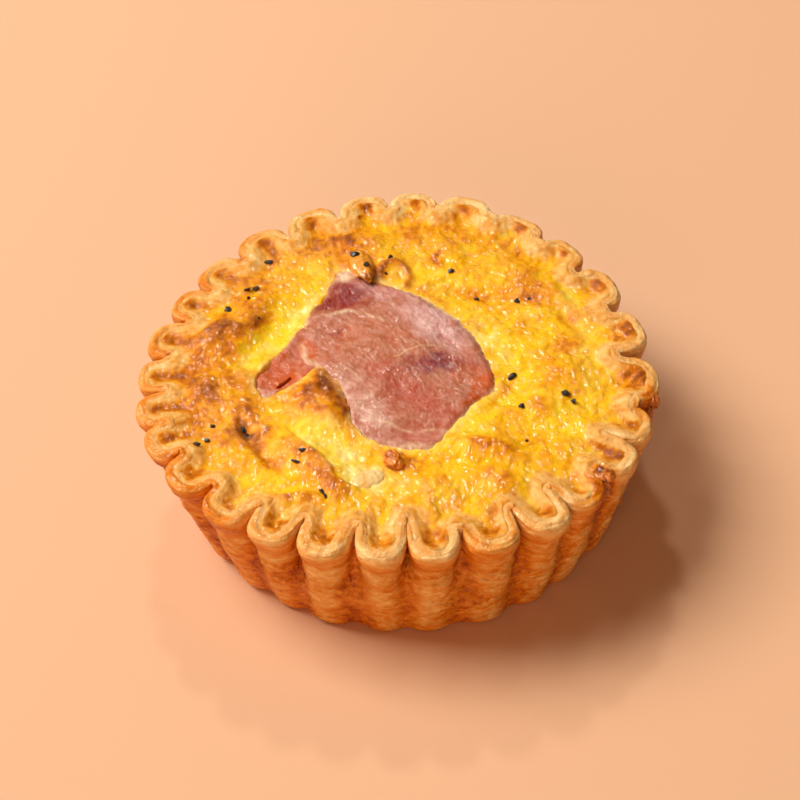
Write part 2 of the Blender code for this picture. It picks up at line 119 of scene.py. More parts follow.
# Relief: x, y, half length, half width (mm), heading (degrees), height (mm).
MOUNDS = (
    (-36.2, 7.2, 7.5, 4.4, 35, 2.1),     # browned puff at the left
    (-28.2, 15.0, 5.5, 2.2, 62, 1.2),    # scorched shoulder above the bright hollow
    (-24.2, 8.6, 13.0, 2.8, 57, -0.9),   # bright hollow between the puff and the ham
    (-14.6, -9.8, 7.5, 4.6, 104, 2.6),   # wedge-shaped puff beside the ham
    (-35.5, -6.5, 7.0, 5.5, 20, 1.3),    # soft swelling at the left
    (-28.8, -15.6, 2.2, 1.2, -66, -1.5), # scorched pit
    (-24.4, -22.2, 5.5, 1.6, -50, -1.2), # crease that runs on from the pit
    (-16.5, -25.0, 8.5, 3.6, -46, 0.8),  # baked skin over the pale hollow
    (-8.0, -22.5, 10.5, 3.2, -45, -0.3), # pale hollow in front of the ham
    (-19.5, -33.6, 4.6, 2.0, 8, 1.2),    # crest at the front left
    (-3.0, 29.0, 5.0, 3.4, 110, 0.9),    # swirl behind the ham
    (-7.4, 27.2, 6.0, 3.6, 108, 0.6),    # swelling that holds the knob
    (-9.5, 35.5, 6.0, 3.4, 0, 0.7),      # browned patch at the back
    (19.0, 19.6, 11.5, 1.8, -8, -0.9),   # long crease at the right
    (33.0, 13.0, 4.5, 1.6, -48, -0.5),   # its turn towards the front
    (21.0, 25.5, 10.0, 4.0, -12, 0.9),   # swelling behind that crease
    (30.0, 2.0, 5.0, 7.5, 10, 0.8),      # swelling at the right
    (26.5, -9.0, 5.0, 3.8, 20, 0.9),     # swelling at the front right
    (15.5, -20.0, 7.0, 2.4, -14, 1.2),   # step in front of the ham
    (17.0, -28.5, 6.5, 3.0, -8, 1.0),    # second step
    (5.0, -31.0, 7.0, 3.2, 8, 0.7),      # low swelling at the front
)
# Browning, laid out like MOUNDS with an amount in place of the height.
BROWNED = (
    (-37.5, 7.5, 7.0, 4.4, 35, 0.34),    # top of the browned puff
    (-33.0, 10.6, 5.0, 3.6, 40, 0.18),
    (-37.0, -8.0, 10.0, 12.0, 0, 0.21),
    (-28.0, 22.0, 15.0, 10.0, 50, 0.08),
    (-12.0, 36.6, 6.5, 2.8, 10, 0.12),
    (-30.6, 6.6, 5.6, 1.9, 60, 0.20),    # flank of the puff over the bright hollow
    (-28.0, 16.0, 5.0, 1.7, 66, 0.26),   # scorched shoulder
    (-27.4, 12.5, 3.0, 1.0, 66, 0.25),
    (-30.0, 24.0, 9.0, 6.5, 50, 0.18),
    (-20.0, 34.0, 10.0, 5.0, 30, 0.16),
    (-17.5, 35.8, 2.4, 2.0, 0, 0.22),
    (-38.5, 19.0, 3.4, 2.4, 0, 0.26),
    (-33.0, 24.0, 2.4, 1.8, 30, 0.16),
    (-10.4, 36.8, 4.2, 2.6, 60, 0.34),
    (-11.0, 32.8, 3.0, 1.6, 20, 0.20),
    (2.5, 39.0, 3.4, 2.6, 0, 0.16),
    (12.5, 38.6, 4.4, 3.2, -10, 0.22),
    (7.8, 30.0, 0.8, 3.2, 14, 0.36),     # short dark streak at the back
    (-7.4, 27.2, 5.6, 3.2, 108, 0.34),   # custard round the knob
    (23.0, 33.0, 3.2, 2.8, -20, 0.20),
    (24.6, 24.4, 3.6, 3.0, -20, 0.20),
    (14.5, 20.6, 5.6, 0.9, -4, 0.30),    # along the crease
    (15.0, 19.0, 1.6, 1.4, 0, 0.22),
    (26.5, 19.0, 4.0, 1.8, -25, 0.22),
    (32.4, 14.0, 3.0, 1.4, -50, 0.16),
    (24.0, 11.5, 1.8, 3.0, -15, 0.16),
    (32.6, 8.0, 2.8, 2.6, 0, 0.16),
    (31.0, 4.2, 1.6, 2.4, 0, 0.22),
    (28.0, -1.5, 1.7, 5.0, 4, 0.20),
    (26.0, -11.5, 2.4, 3.4, 10, 0.18),
    (26.2, -18.0, 2.6, 2.6, 0, 0.14),
    (-12.0, -7.8, 7.4, 2.4, 115, 0.36),  # dark flank of the wedge-shaped puff
    (-9.8, -12.6, 2.0, 1.0, 110, 0.24),
    (-15.6, -5.6, 4.5, 2.4, 70, 0.30),
    (-18.6, -7.4, 4.6, 4.0, 0, 0.26),
    (-16.0, -10.5, 5.5, 3.6, 0, 0.20),
    (5.5, 20.0, 4.4, 0.9, -42, 0.26),    # along the back edge of the ham
    (19.4, -6.0, 4.2, 1.1, 58, 0.30),    # right-hand edge of the ham
    (0.0, 33.0, 30.0, 8.0, 0, 0.05),
    (-18.0, -12.5, 4.0, 1.6, -10, 0.12),
    (-28.8, -15.8, 2.4, 0.9, -66, 0.50), # scorched pit
    (-28.4, -16.5, 4.4, 3.0, -60, 0.24),
    (-24.8, -17.8, 2.8, 2.2, -30, 0.20),
    (-24.2, -23.4, 5.2, 1.4, -50, 0.30),
    (-16.0, -25.6, 8.0, 2.8, -48, 0.24), # baked skin
    (-20.0, -32.9, 3.4, 1.0, 6, 0.36),
    (-24.4, -34.6, 1.2, 1.8, 0, 0.26),
    (-16.0, -34.0, 2.0, 1.2, -40, 0.26),
    (-38.5, -8.0, 6.0, 4.6, 70, 0.20),
    (-40.0, 0.0, 4.0, 4.6, 90, 0.24),
    (-33.5, -3.0, 5.0, 4.0, 30, 0.14),
    (-31.5, -19.0, 6.0, 3.0, 0, 0.18),
    (-41.0, -16.0, 3.0, 6.0, 20, 0.12),
    (15.0, -19.6, 5.4, 1.3, -14, 0.28),
    (20.5, -22.4, 4.0, 1.3, -20, 0.12),
    (17.6, -28.6, 3.6, 2.0, -8, 0.22),
    (7.6, -29.4, 1.8, 1.3, 0, 0.20),
    (10.0, -34.0, 6.0, 1.6, 4, 0.14),
    (-24.4, 9.0, 13.0, 3.0, 57, -0.40),  # bright hollow
    (-18.5, 25.5, 4.5, 4.0, 60, -0.14),
    (-24.0, -28.5, 8.0, 2.6, -14, -0.16),
    (-12.6, -18.4, 4.0, 2.2, -35, -0.40),
    (-21.0, -10.0, 2.6, 3.4, 20, -0.16),
    (37.0, 2.0, 5.0, 14.0, 5, -0.12),
    (21.0, 1.0, 5.0, 12.0, 20, -0.14),
    (14.0, -14.0, 8.0, 4.0, 40, -0.20),
    (30.0, -14.0, 9.0, 5.0, 40, -0.12),
    (8.0, 25.5, 7.0, 2.4, -14, -0.14),
    (34.0, 24.0, 4.0, 7.0, 30, -0.08),
    (1.6, -24.6, 2.6, 1.7, 8, 0.46),     # smear beside the bacon
    (-0.8, -22.4, 2.6, 0.7, 0, 0.40),    # smear behind the bacon
)
# Pale custard, laid out in the same way.
PALE = (
    (-7.6, -25.6, 7.4, 3.2, -43, 1.30),
    (-16.5, -18.8, 3.8, 0.7, -44, 0.60),
    (-13.5, -15.4, 3.6, 1.0, -6, 0.55),
    (1.5, -31.0, 5.0, 2.0, 5, 0.40),
    (17.6, 8.0, 2.0, 6.0, 20, 0.75),     # beside the right-hand edge of the ham
    (19.6, 0.0, 1.2, 3.6, -10, 0.40),
    (-21.6, 12.0, 9.0, 1.6, 57, 0.70),
    (-28.6, 1.6, 3.4, 1.6, 60, 0.50),
    (34.5, 17.0, 3.4, 4.0, 20, 0.35),
    (36.0, 6.5, 2.4, 3.4, 0, 0.30),
    (27.5, 37.0, 2.8, 1.4, -40, 0.65),
    (6.5, 41.5, 1.6, 1.2, 0, 0.60),
    (-2.0, 22.4, 3.0, 1.2, -40, 0.40),
    (36.0, -24.0, 4.0, 3.0, 30, 0.50),
)
BROWNING_EVERYWHERE = 0.27
SWIRL = (-1.0, 25.2, 2.8, 3.3)  # ring behind the ham: x, y, half width, half length (mm)
SWIRL_HEIGHT = 0.8 * MM

# ---- ham ------------------------------------------------------------------------------------
HAM_THICKNESS = 1.7 * MM
HAM_THINNEST = 0.2 * MM         # least thickness of the ham anywhere
HAM_PROUD = 0.6 * MM            # top of the ham above the filling's level
HAM_GRID = 214                  # cells along each side of a sheet's square grid
HAM_BENDS = (
    (-1.0, 6.0, 16.0, 9.0, 60, 0.9),     # crown of the slice
    (-22.5, -1.0, 9.0, 5.0, 50, -1.0),   # the tongue lies lower
    (-13.0, 17.0, 7.0, 1.8, 15, -0.7),   # dark fold near the top corner
    (1.0, -19.0, 9.0, 4.0, 0, -0.9),     # front tip, bent down
)
# Outlines in millimetres, anticlockwise, and the middle that each is seen from.
SLICE_OUTLINE = (
    (-11.4, 27.8), (-13.8, 23.0), (-15.4, 19.4), (-17.6, 15.6), (-18.8, 11.0), (-20.0, 5.4),
    (-18.2, 2.0), (-15.6, -0.8), (-12.0, -5.4), (-9.9, -11.6), (-8.4, -16.4), (-3.8, -20.4), (2.4, -21.6),
    (7.2, -20.4), (12.6, -12.4), (18.2, -5.2), (17.4, 1.0), (14.4, 8.8), (8.2, 15.6),
    (1.2, 21.2), (-5.2, 24.2),
)
SLICE_MIDDLE = (-1.0, 2.0)
TONGUE_OUTLINE = (
    (-18.6, 11.4), (-22.4, 6.2), (-25.6, 1.8), (-27.8, -2.8), (-27.0, -6.6), (-25.2, -8.4),
    (-22.2, -6.9), (-18.4, -4.6), (-15.2, -0.8), (-13.5, 4.0), (-15.0, 9.0),
)
TONGUE_MIDDLE = (-20.5, 1.0)
TONGUE_DROP = -0.2 * MM
STRAND_HEADING = -46.0          # way the fine strands of the meat run, degrees
HAM_PIECES = ((SLICE_OUTLINE, SLICE_MIDDLE, 0.0), (TONGUE_OUTLINE, TONGUE_MIDDLE, TONGUE_DROP))


# ---- noise ----------------------------------------------------------------------------------
def hashed(cell, seed):
    """Random number 0 to 255 for each whole-number cell: its three coordinates and the seed
    are mixed by multiplying, shifting and exclusive or."""
    mixed = cell[..., 0] * 374761393 + cell[..., 1] * 668265263
    mixed = (mixed + cell[..., 2] * 1103515245 + seed * 974634777) & 0xFFFFFFFF
    mixed = ((mixed ^ (mixed >> 13)) * 1274126177) & 0xFFFFFFFF
    return (mixed ^ (mixed >> 16)) & 255


def directions():
    """256 unit vectors spread evenly over a sphere by the golden angle."""
    number = np.arange(256) + 0.5
    up = 1.0 - number / 128.0
    round_axis = np.sqrt(1.0 - up * up)
    turn = number * np.pi * (3.0 - np.sqrt(5.0))
    return np.stack([round_axis * np.cos(turn), round_axis * np.sin(turn), up], axis=1)


def turned_axes():
    """Three square axes turned by odd angles, so that flat slices of noise show no grid."""
    first, second = 0.61, 0.87
    tilt = np.array([[1, 0, 0], [0, np.cos(first), -np.sin(first)], [0, np.sin(first), np.cos(first)]])
    spin = np.array([[np.cos(second), -np.sin(second), 0], [np.sin(second), np.cos(second), 0], [0, 0, 1]])
    return tilt @ spin


DIRECTIONS = directions()
AXES = turned_axes()


def noise(points, seed=0):
    """Gradient noise from about -1 to 1. At each corner of the unit cell a hashed direction is
    dotted with the way to the point, and the eight values blend by 6t^5 - 15t^4 + 10t^3."""
    points = points @ AXES
    cell = np.floor(points).astype(np.int64)
    part = points - cell
    blend = part * part * part * (part * (part * 6.0 - 15.0) + 10.0)
    total = np.zeros(points.shape[:-1])
    for corner in np.ndindex(2, 2, 2):
        way = part - corner
        weight = np.prod(np.where(corner, blend, 1.0 - blend), axis=-1)
        total += weight * np.sum(DIRECTIONS[hashed(cell + corner, seed)] * way, axis=-1)
    return 1.6 * total


def layered(points, seed, layers=3):
    """Noise plus half of it at half the length, and so on."""
    return sum(noise(points * 2.0 ** step, seed + step) * 0.5 ** step for step in range(layers))


def spots(points, seed):
    """Distance from each plan point to the nearest and the second nearest of scattered seeds,
    one in each unit cell, in cells."""
    cell = np.floor(points[..., :2]).astype(np.int64)
    nearest = np.full(points.shape[:-1], 9.0)
    second = nearest.copy()
    for shift in np.ndindex(3, 3):
        home = cell + np.array(shift) - 1
        tag = np.concatenate([home, np.zeros_like(home[..., :1])], axis=-1)
        jitter = np.stack([hashed(tag, seed), hashed(tag, seed + 71)], axis=-1) / 255.0
        away = np.linalg.norm(home + jitter - points[..., :2], axis=-1)
        second = np.minimum(second, np.maximum(nearest, away))
        nearest = np.minimum(nearest, away)
    return nearest, second


def spread(x, y, z=0.0):
    """Points from separate coordinates that broadcast together."""
    return np.stack(np.broadcast_arrays(x, y, z), axis=-1).astype(float)


# ---- curves and fields ----------------------------------------------------------------------
def smooth_step(low, high, value):
    """0 below low, 1 above high, 3t^2 - 2t^3 between."""
    share = np.clip((value - low) / (high - low), 0.0, 1.0)
    return share * share * (3.0 - 2.0 * share)


def turned(x, y, heading):
    """Plan coordinates turned anticlockwise by a heading in degrees."""
    turn = np.radians(heading)
    return x * np.cos(turn) - y * np.sin(turn), x * np.sin(turn) + y * np.cos(turn)


def in_cells(x, y, length, z=0.0):
    """Plan points measured in cells of a length in millimetres, on a slice z of the noise."""
    return spread(x / (length * MM), y / (length * MM), z)


def closed_curve(values, at):
    """Catmull-Rom cubic through equally spaced values that close on themselves."""
    values = np.asarray(values, float)
    start = np.floor(at).astype(int)
    share = at - start
    if values.ndim == 2:
        share = share[..., None]
    before, here, after, beyond = (values[(start + step) % len(values)] for step in (-1, 0, 1, 2))
    cubic = share * (3.0 * (here - after) + beyond - before)
    square = share * (2.0 * before - 5.0 * here + 4.0 * after - beyond + cubic)
    return here + 0.5 * share * (after - before + square)


def ovals(x, y, features):
    """Sum of soft ovals: amount * exp(-0.9 r^3), r the distance in half lengths and widths."""
    total = np.zeros_like(x)
    for centre_x, centre_y, length, width, heading, amount in features:
        along, across = turned(x / MM - centre_x, y / MM - centre_y, -heading)
        along, across = along / length, across / width
        total = total + amount * np.exp(-0.9 * (along * along + across * across) ** 1.5)
    return total


def strayed(x, y, seed, length, amount):
    """Plan points pushed about by noise of a length, so that what is laid out by them gets
    ragged edges; length and amount in millimetres."""
    places = in_cells(x, y, length, 0.5 + seed)
    return x + amount * MM * layered(places, seed, 2), y + amount * MM * layered(places, seed + 5, 2)


def line_gap(x, y, corners):
    """Distance in millimetres from each plan point to a line through corners."""
    place = np.stack([x, y], axis=-1) / MM
    gap = np.full(np.shape(x), 99.0)
    for start, end in zip(np.asarray(corners[:-1], float), np.asarray(corners[1:], float)):
        run = end - start
        share = np.clip((place - start) @ run / (run @ run), 0.0, 1.0)
        gap = np.minimum(gap, np.linalg.norm(place - start - share[..., None] * run, axis=-1))
    return gap


def bumps(x, y):
    """The filling's irregular bumps: noise of one length plus half of it at half the length."""
    places = spread(x / BUMP_LENGTH, y / BUMP_LENGTH, 3.7)
    return BUMP_HEIGHT * (noise(places, 5) + 0.5 * noise(2.0 * places, 6))


def filling_level(x, y):
    """Height of the filling with its mounds and bumps, lower towards the dough."""
    edge = smooth_step(FILL_EDGE[0], FILL_EDGE[1], np.hypot(x, y))
    shape = ovals(x, y, MOUNDS) * MM + bumps(x, y)
    return FILL_LEVEL - FILL_EDGE_DROP * edge + shape * (1.0 - 0.6 * edge)


def ham_level(x, y):
    """Height of the top of the ham: level with soft bends."""
    return FILL_LEVEL + HAM_PROUD + ovals(x, y, HAM_BENDS) * MM


# ---- the plan of the dough ribbon -----------------------------------------------------------
def flute_angle(at):
    """Angle in degrees at a flute number: an even turn plus the flutes' smooth drift from it."""
    drift = np.asarray(FLUTE_ANGLES) + 360.0 / FLUTES * np.arange(FLUTES)
    return closed_curve(drift, at) - 360.0 / FLUTES * at


def tipness(at):
    """1 at a flute's tip, 0 in the middle of a fold."""
    return 0.5 * (1.0 + np.cos(2.0 * np.pi * at))


def ribbon(at, height, fold, crust):
    """Middle of the ribbon: radius(tip) - depth * (1 - wave) / 2 at an uneven angle, where wave
    is cos 2 pi at less a little of its third harmonic. Whole numbers of at are flute tips and
    halves are folds; fold is 0 at foot depth, 1 at the rim's."""
    loops = LOOP_ROUNDING * np.sin(4.0 * np.pi * at) + TIP_WIDENING * np.sin(2.0 * np.pi * at)
    angle = np.radians(flute_angle(at + fold * loops))
    share = sum(size * np.cos(order * angle - np.radians(phase)) for order, size, phase in RIM_SHAPE)
    rim = crust.rim_radius * (1.0 + share)
    foot = crust.foot_radius + crust.foot_shift * np.cos(angle - crust.foot_shift_angle)
    rise = height / RIM_HEIGHT
    tip = foot + (rim - foot) * rise + WALL_BULGE * np.sin(np.pi * np.clip(rise, 0.0, 1.0))
    depth = FOOT_FOLD + fold * (closed_curve(FOLD_DEPTHS, at - 0.5) * MM - FOOT_FOLD)
    wave = np.cos(2.0 * np.pi * at) * (1.0 + FLANK_STEEPNESS) - FLANK_STEEPNESS * np.cos(6.0 * np.pi * at)
    radius = tip - 0.5 * crust.dough - depth * 0.5 * (1.0 - wave)
    return np.stack([radius * np.cos(angle), radius * np.sin(angle)], axis=-1)


def sideways(plan, distance):
    """Closed plan curves moved along their outward normals by one distance or one for each
    point, held back where the bend is tighter than the distance. The curves run clockwise."""
    after, before = np.roll(plan, -1, axis=-2), np.roll(plan, 1, axis=-2)
    along = after - before
    normal = np.stack([-along[..., 1], along[..., 0]], axis=-1)
    normal /= np.linalg.norm(normal, axis=-1, keepdims=True)
    ahead, behind = after - plan, plan - before
    step, back = np.linalg.norm(ahead, axis=-1), np.linalg.norm(behind, axis=-1)
    cross = ahead[..., 0] * behind[..., 1] - ahead[..., 1] * behind[..., 0]
    curve = -2.0 * cross / (step * back * (step + back)) * np.sign(distance)
    room = np.where(curve > 0.0, 1.0 / np.maximum(curve, 1e-6), 1.0) - TIGHTEST_FOLD
    shift = np.sign(distance) * np.minimum(np.abs(distance), np.maximum(room, 0.0))
    return plan + normal * shift[..., None]


def droop(at, rise, crust):
    """How far the flute tips hang below the folds: all of it at the rim, none below."""
    return crust.fold_rise * tipness(at) * smooth_step(0.75, 1.0, rise)


# ---- meshes ---------------------------------------------------------------------------------
def grid_faces(rows, columns, closed):
    """Quads between neighbouring rows and columns; closed joins the last column to the first."""
    here = np.arange(columns if closed else columns - 1)
    after = (here + 1) % columns
    row = np.arange(rows - 1)[:, None] * columns
    quads = np.stack([row + here, row + after, row + columns + after, row + columns + here], axis=-1)
    return quads.reshape(-1, 4)


def fan(ring, centre):
    """Triangles from each edge of a ring to a centre point."""
    return np.stack([ring, np.roll(ring, -1), np.full_like(ring, centre)], axis=-1)


def placed(name, data):
    """New object of some data, linked into the scene."""
    thing = bpy.data.objects.new(name, data)
    bpy.context.scene.collection.objects.link(thing)
    return thing


def add_piece(name, points, face_groups, material):
    """Smooth shaded object at the origin that rides on the body. Face groups are arrays of
    quads or triangles, wound so that they face outwards."""
    corners = np.concatenate([group.ravel() for group in face_groups])
    sizes = np.concatenate([np.full(len(group), group.shape[1]) for group in face_groups])
    mesh = bpy.data.meshes.new(name)
    mesh.vertices.add(len(points))
    mesh.vertices.foreach_set("co", np.ascontiguousarray(points, np.float32).ravel())
    mesh.loops.add(len(corners))
    mesh.loops.foreach_set("vertex_index", corners.astype(np.int32))
    mesh.polygons.add(len(sizes))
    starts = np.concatenate([[0], np.cumsum(sizes)[:-1]])
    mesh.polygons.foreach_set("loop_start", starts.astype(np.int32))
    mesh.update(calc_edges=True)
    mesh.validate()
    mesh.shade_smooth()
    mesh.materials.append(material)
    piece = placed(name, mesh)
    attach(piece, BODY)
    return piece


def set_values(piece, name, values):
    """Store one number for each vertex, or one colour if the values have three columns."""
    if np.ndim(values) == 1:
        layer = piece.data.attributes.new(name, "FLOAT", "POINT")
        layer.data.foreach_set("value", np.asarray(values, np.float32))
        return
    layer = piece.data.attributes.new(name, "FLOAT_COLOR", "POINT")
    colour = np.concatenate([values, np.ones((len(values), 1))], axis=1)
    layer.data.foreach_set("color", colour.astype(np.float32).ravel())


def toward(tint, colour, weight):
    """Colours moved towards one colour by a weight for each point."""
    return tint + (np.asarray(colour) - tint) * np.clip(weight, 0.0, 1.0)[..., None]


def grid_normals(points):
    """Unit normals of a grid whose last column joins its first, from the cross product of its
    two directions."""
    down = np.gradient(points, axis=0)
    across = 0.5 * (np.roll(points, -1, axis=1) - np.roll(points, 1, axis=1))
    normal = np.cross(across, down)
    return normal / np.maximum(np.linalg.norm(normal, axis=-1, keepdims=True), 1e-12)


def disc_grid(cells):
    """A square grid laid on a disc: ring is each point's square radius from 0 to 1 and turn is
    its angle, spread evenly along each square ring."""
    line = np.linspace(-1.0, 1.0, cells + 1)
    across, up = np.meshgrid(line, line)
    wide = np.abs(across) >= np.abs(up)
    lead = np.where(wide, across, up)
    other = np.where(wide, up, across)
    slant = 0.25 * np.pi * other / np.where(lead == 0.0, 1.0, lead)
    turn = np.where(wide, slant, 0.5 * np.pi - slant) + np.where(lead < 0.0, np.pi, 0.0)
    return np.abs(lead), turn


def grid_edge(size):
    """Numbers of the points round the edge of a square grid, in order."""
    index = np.arange(size * size).reshape(size, size)
    return np.concatenate([index[0, :-1], index[:-1, -1], index[-1, :0:-1], index[:0:-1, 0]])


def close_sheet(cells, top, under):
    """Faces of a top and an underside that share the grid of disc_grid, joined round the edge."""
    size = cells + 1
    upper = grid_faces(size, size, False)
    lower = upper[:, ::-1] + size * size
    edge = grid_edge(size)
    after = np.roll(edge, -1)
    skirt = np.stack([after, edge, edge + size * size, after + size * size], axis=1)
    points = np.concatenate([top.reshape(-1, 3), under.reshape(-1, 3)])
    return points, [np.concatenate([upper, lower, skirt])]


def close_over_foot(cells, top, foot):
    """Faces of a top on the grid of disc_grid over a flat underside. The foot has a point under
    each point of the top's edge, and triangles close it to its middle."""
    size = cells + 1
    edge = grid_edge(size)
    ring = size * size + np.arange(len(edge))
    skirt = np.stack([np.roll(edge, -1), edge, ring, np.roll(ring, -1)], axis=1)
    points = np.concatenate([top.reshape(-1, 3), foot, foot.mean(axis=0)[None]])
    return points, [grid_faces(size, size, False), skirt, fan(ring, len(points) - 1)[:, ::-1]]


def lump(centre, half, heading, roughness, seed, rows=56, columns=84):
    """Closed blob: a globe of the given half sizes, turned about +Z, with its radius varied by
    noise; centre and half sizes in metres."""
    rise = np.linspace(0.0, np.pi, rows + 2)[1:-1, None]
    turn = np.linspace(0.0, 2.0 * np.pi, columns, endpoint=False)[None, :]
    sphere = spread(np.sin(rise) * np.cos(turn), np.sin(rise) * np.sin(turn), np.cos(rise))
    poles = np.array([[0.0, 0.0, 1.0], [0.0, 0.0, -1.0]])
    unit = np.concatenate([sphere.reshape(-1, 3), poles])
    rough = noise(1.7 * unit, seed) + 0.5 * noise(3.4 * unit, seed + 1)
    rough = rough + 0.16 * noise(6.5 * unit, seed + 2)
    shape = unit * (1.0 + roughness * rough)[:, None] * np.asarray(half)
    x, y = turned(shape[:, 0], shape[:, 1], heading)
    points = np.stack([x, y, shape[:, 2]], axis=1) + np.asarray(centre)
    last = rows * columns
    top = fan(np.arange(columns), last)
    bottom = fan(np.arange((rows - 1) * columns, last), last + 1)[:, ::-1]
    return points, [grid_faces(rows, columns, True)[:, ::-1], top, bottom]


# ---- materials ------------------------------------------------------------------------------
class Recipe:
    """A material's node tree with short calls for adding and joining its nodes."""

    def __init__(self, name):
        self.material = bpy.data.materials.new(name)
        self.material.use_nodes = True
        self.tree = self.material.node_tree
        self.shader = self.tree.nodes["Principled BSDF"]
        coordinates = self.tree.nodes.new("ShaderNodeTexCoord")
        self.place = coordinates.outputs["Object"]

    def join(self, value, socket):
        """Link an output to a socket, or set the socket's own value."""
        if isinstance(value, bpy.types.NodeSocket):
            self.tree.links.new(value, socket)
        else:
            socket.default_value = value

    def add(self, kind, output, settings=None, **inputs):
        """New node with its settings and inputs filled in; returns the named output."""
        new = self.tree.nodes.new(kind)
        for name, value in (settings or {}).items():
            setattr(new, name, value)
        for name, value in inputs.items():
            self.join(value, new.inputs[name.replace("_", " ")])
        return new.outputs[output]

    def stored(self, name, output="Fac"):
        """A value kept on the mesh's points."""
        return self.add("ShaderNodeAttribute", output, {"attribute_name": name})

    def noise(self, scale, detail=2.0, stretch=(1.0, 1.0, 1.0)):
        """Noise with a scale in cells per metre, on object coordinates turned by odd angles
        after any stretch."""
        place = self.add("ShaderNodeMapping", "Vector", Vector=self.place, Scale=stretch)
        place = self.add("ShaderNodeMapping", "Vector", Vector=place, Rotation=(0.61, 0.37, 0.87))
        return self.add("ShaderNodeTexNoise", "Fac", Vector=place, Scale=scale, Detail=detail)

    def grained(self, scale, detail, heading, long):
        """Noise drawn out along a heading in degrees, so many times its width."""
        place = self.add("ShaderNodeMapping", "Vector", {"vector_type": "TEXTURE"}, Vector=self.place,
                         Rotation=(0.0, 0.0, np.radians(heading)), Scale=(long, 1.0, 1.0))
        return self.add("ShaderNodeTexNoise", "Fac", Vector=place, Scale=scale, Detail=detail)

    def arithmetic(self, operation, first, second=0.0):
        """Math node on two numbers."""
        new = self.tree.nodes.new("ShaderNodeMath")
        new.operation = operation
        self.join(first, new.inputs[0])
        self.join(second, new.inputs[1])
        return new.outputs[0]

    def between(self, value, low, high, out_low=0.0, out_high=1.0):
        """Value taken from one range to another, held at the ends."""
        return self.add("ShaderNodeMapRange", "Result", {"interpolation_type": "SMOOTHSTEP"},
                        Value=value, From_Min=low, From_Max=high, To_Min=out_low, To_Max=out_high)

    def ramp(self, value, stops):
        """Colour ramp through (place, colour) stops."""
        new = self.tree.nodes.new("ShaderNodeValToRGB")
        band = new.color_ramp.elements
        band[0].position, band[0].color = stops[0][0], (*stops[0][1], 1.0)
        band[1].position, band[1].color = stops[-1][0], (*stops[-1][1], 1.0)
        for place, colour in stops[1:-1]:
            band.new(place).color = (*colour, 1.0)
        self.join(value, new.inputs["Fac"])
        return new.outputs["Color"]

    def mixed(self, share, first, second):
        """Colour between two colours."""
        new = self.tree.nodes.new("ShaderNodeMix")
        new.data_type = "RGBA"
        self.join(share, new.inputs[0])
        self.join(first if isinstance(first, bpy.types.NodeSocket) else (*first, 1.0), new.inputs[6])
        self.join(second if isinstance(second, bpy.types.NodeSocket) else (*second, 1.0), new.inputs[7])
        return new.outputs[2]

    def bump(self, height, distance, strength=1.0, normal=None):
        """Bump of a height field, in metres."""
        new = self.tree.nodes.new("ShaderNodeBump")
        new.inputs["Strength"].default_value = strength
        new.inputs["Distance"].default_value = distance
        self.join(height, new.inputs["Height"])
        if normal is not None:
            self.join(normal, new.inputs["Normal"])
        return new.outputs["Normal"]

    def finish(self, **inputs):
        """Fill in the shader's sockets and return the material."""
        for name, value in inputs.items():
            self.join(value, self.shader.inputs[name.replace("_", " ")])
        return self.material


def pastry_material(look):
    """Baked dough: colour by the stored bake, which holds painted shade and highlights, freckled, paler on
    the raised layers as a painted highlight, with a fine dry grain.
    """
    recipe = Recipe("baked_pastry")
    freckles = recipe.noise(900.0, 3.0)
    blush = recipe.noise(160.0, 2.0)
    bake = recipe.stored("bake")
    bake = recipe.arithmetic("ADD", bake, recipe.between(freckles, 0.3, 0.7, -0.05, 0.05))
    bake = recipe.arithmetic("ADD", bake, recipe.between(blush, 0.3, 0.7, -0.05, 0.05))
    layers = recipe.noise(820.0, 3.0, (0.5, 0.5, 1.0))
    # Painted highlight: where the layers of the bump stand up the bake is lowered, so they look paler, and
    # the dips between them darker.
    painted_ridge_shading = recipe.between(layers, 0.36, 0.64, 0.06, -0.14)
    bake = recipe.arithmetic("ADD", bake, recipe.arithmetic("MULTIPLY", painted_ridge_shading, recipe.stored("flaky")))
    colour = recipe.ramp(bake, (
        (0.0, look.pastry_pale), (0.30, look.pastry_tan), (0.55, look.pastry_baked),
        (0.78, look.pastry_brown), (1.0, look.pastry_scorched),
    ))
    grain = recipe.noise(1500.0, 2.0)
    normal = recipe.bump(grain, 0.0001, 0.7)
    normal = recipe.bump(layers, 0.0008, 1.0, normal)
    buttery = recipe.bump(recipe.noise(1200.0, 1.0, (0.5, 0.5, 1.0)), 0.0012, 1.0)
    return recipe.finish(
        Base_Color=colour, Roughness=recipe.between(bake, 0.2, 0.7, 0.55, 0.34), Specular_IOR_Level=0.1,
        Normal=normal, Coat_Weight=0.4, Coat_Roughness=0.09, Coat_Normal=buttery,
        Subsurface_Weight=0.12, Subsurface_Radius=(1.0, 0.55, 0.2), Subsurface_Scale=0.0010,
    )


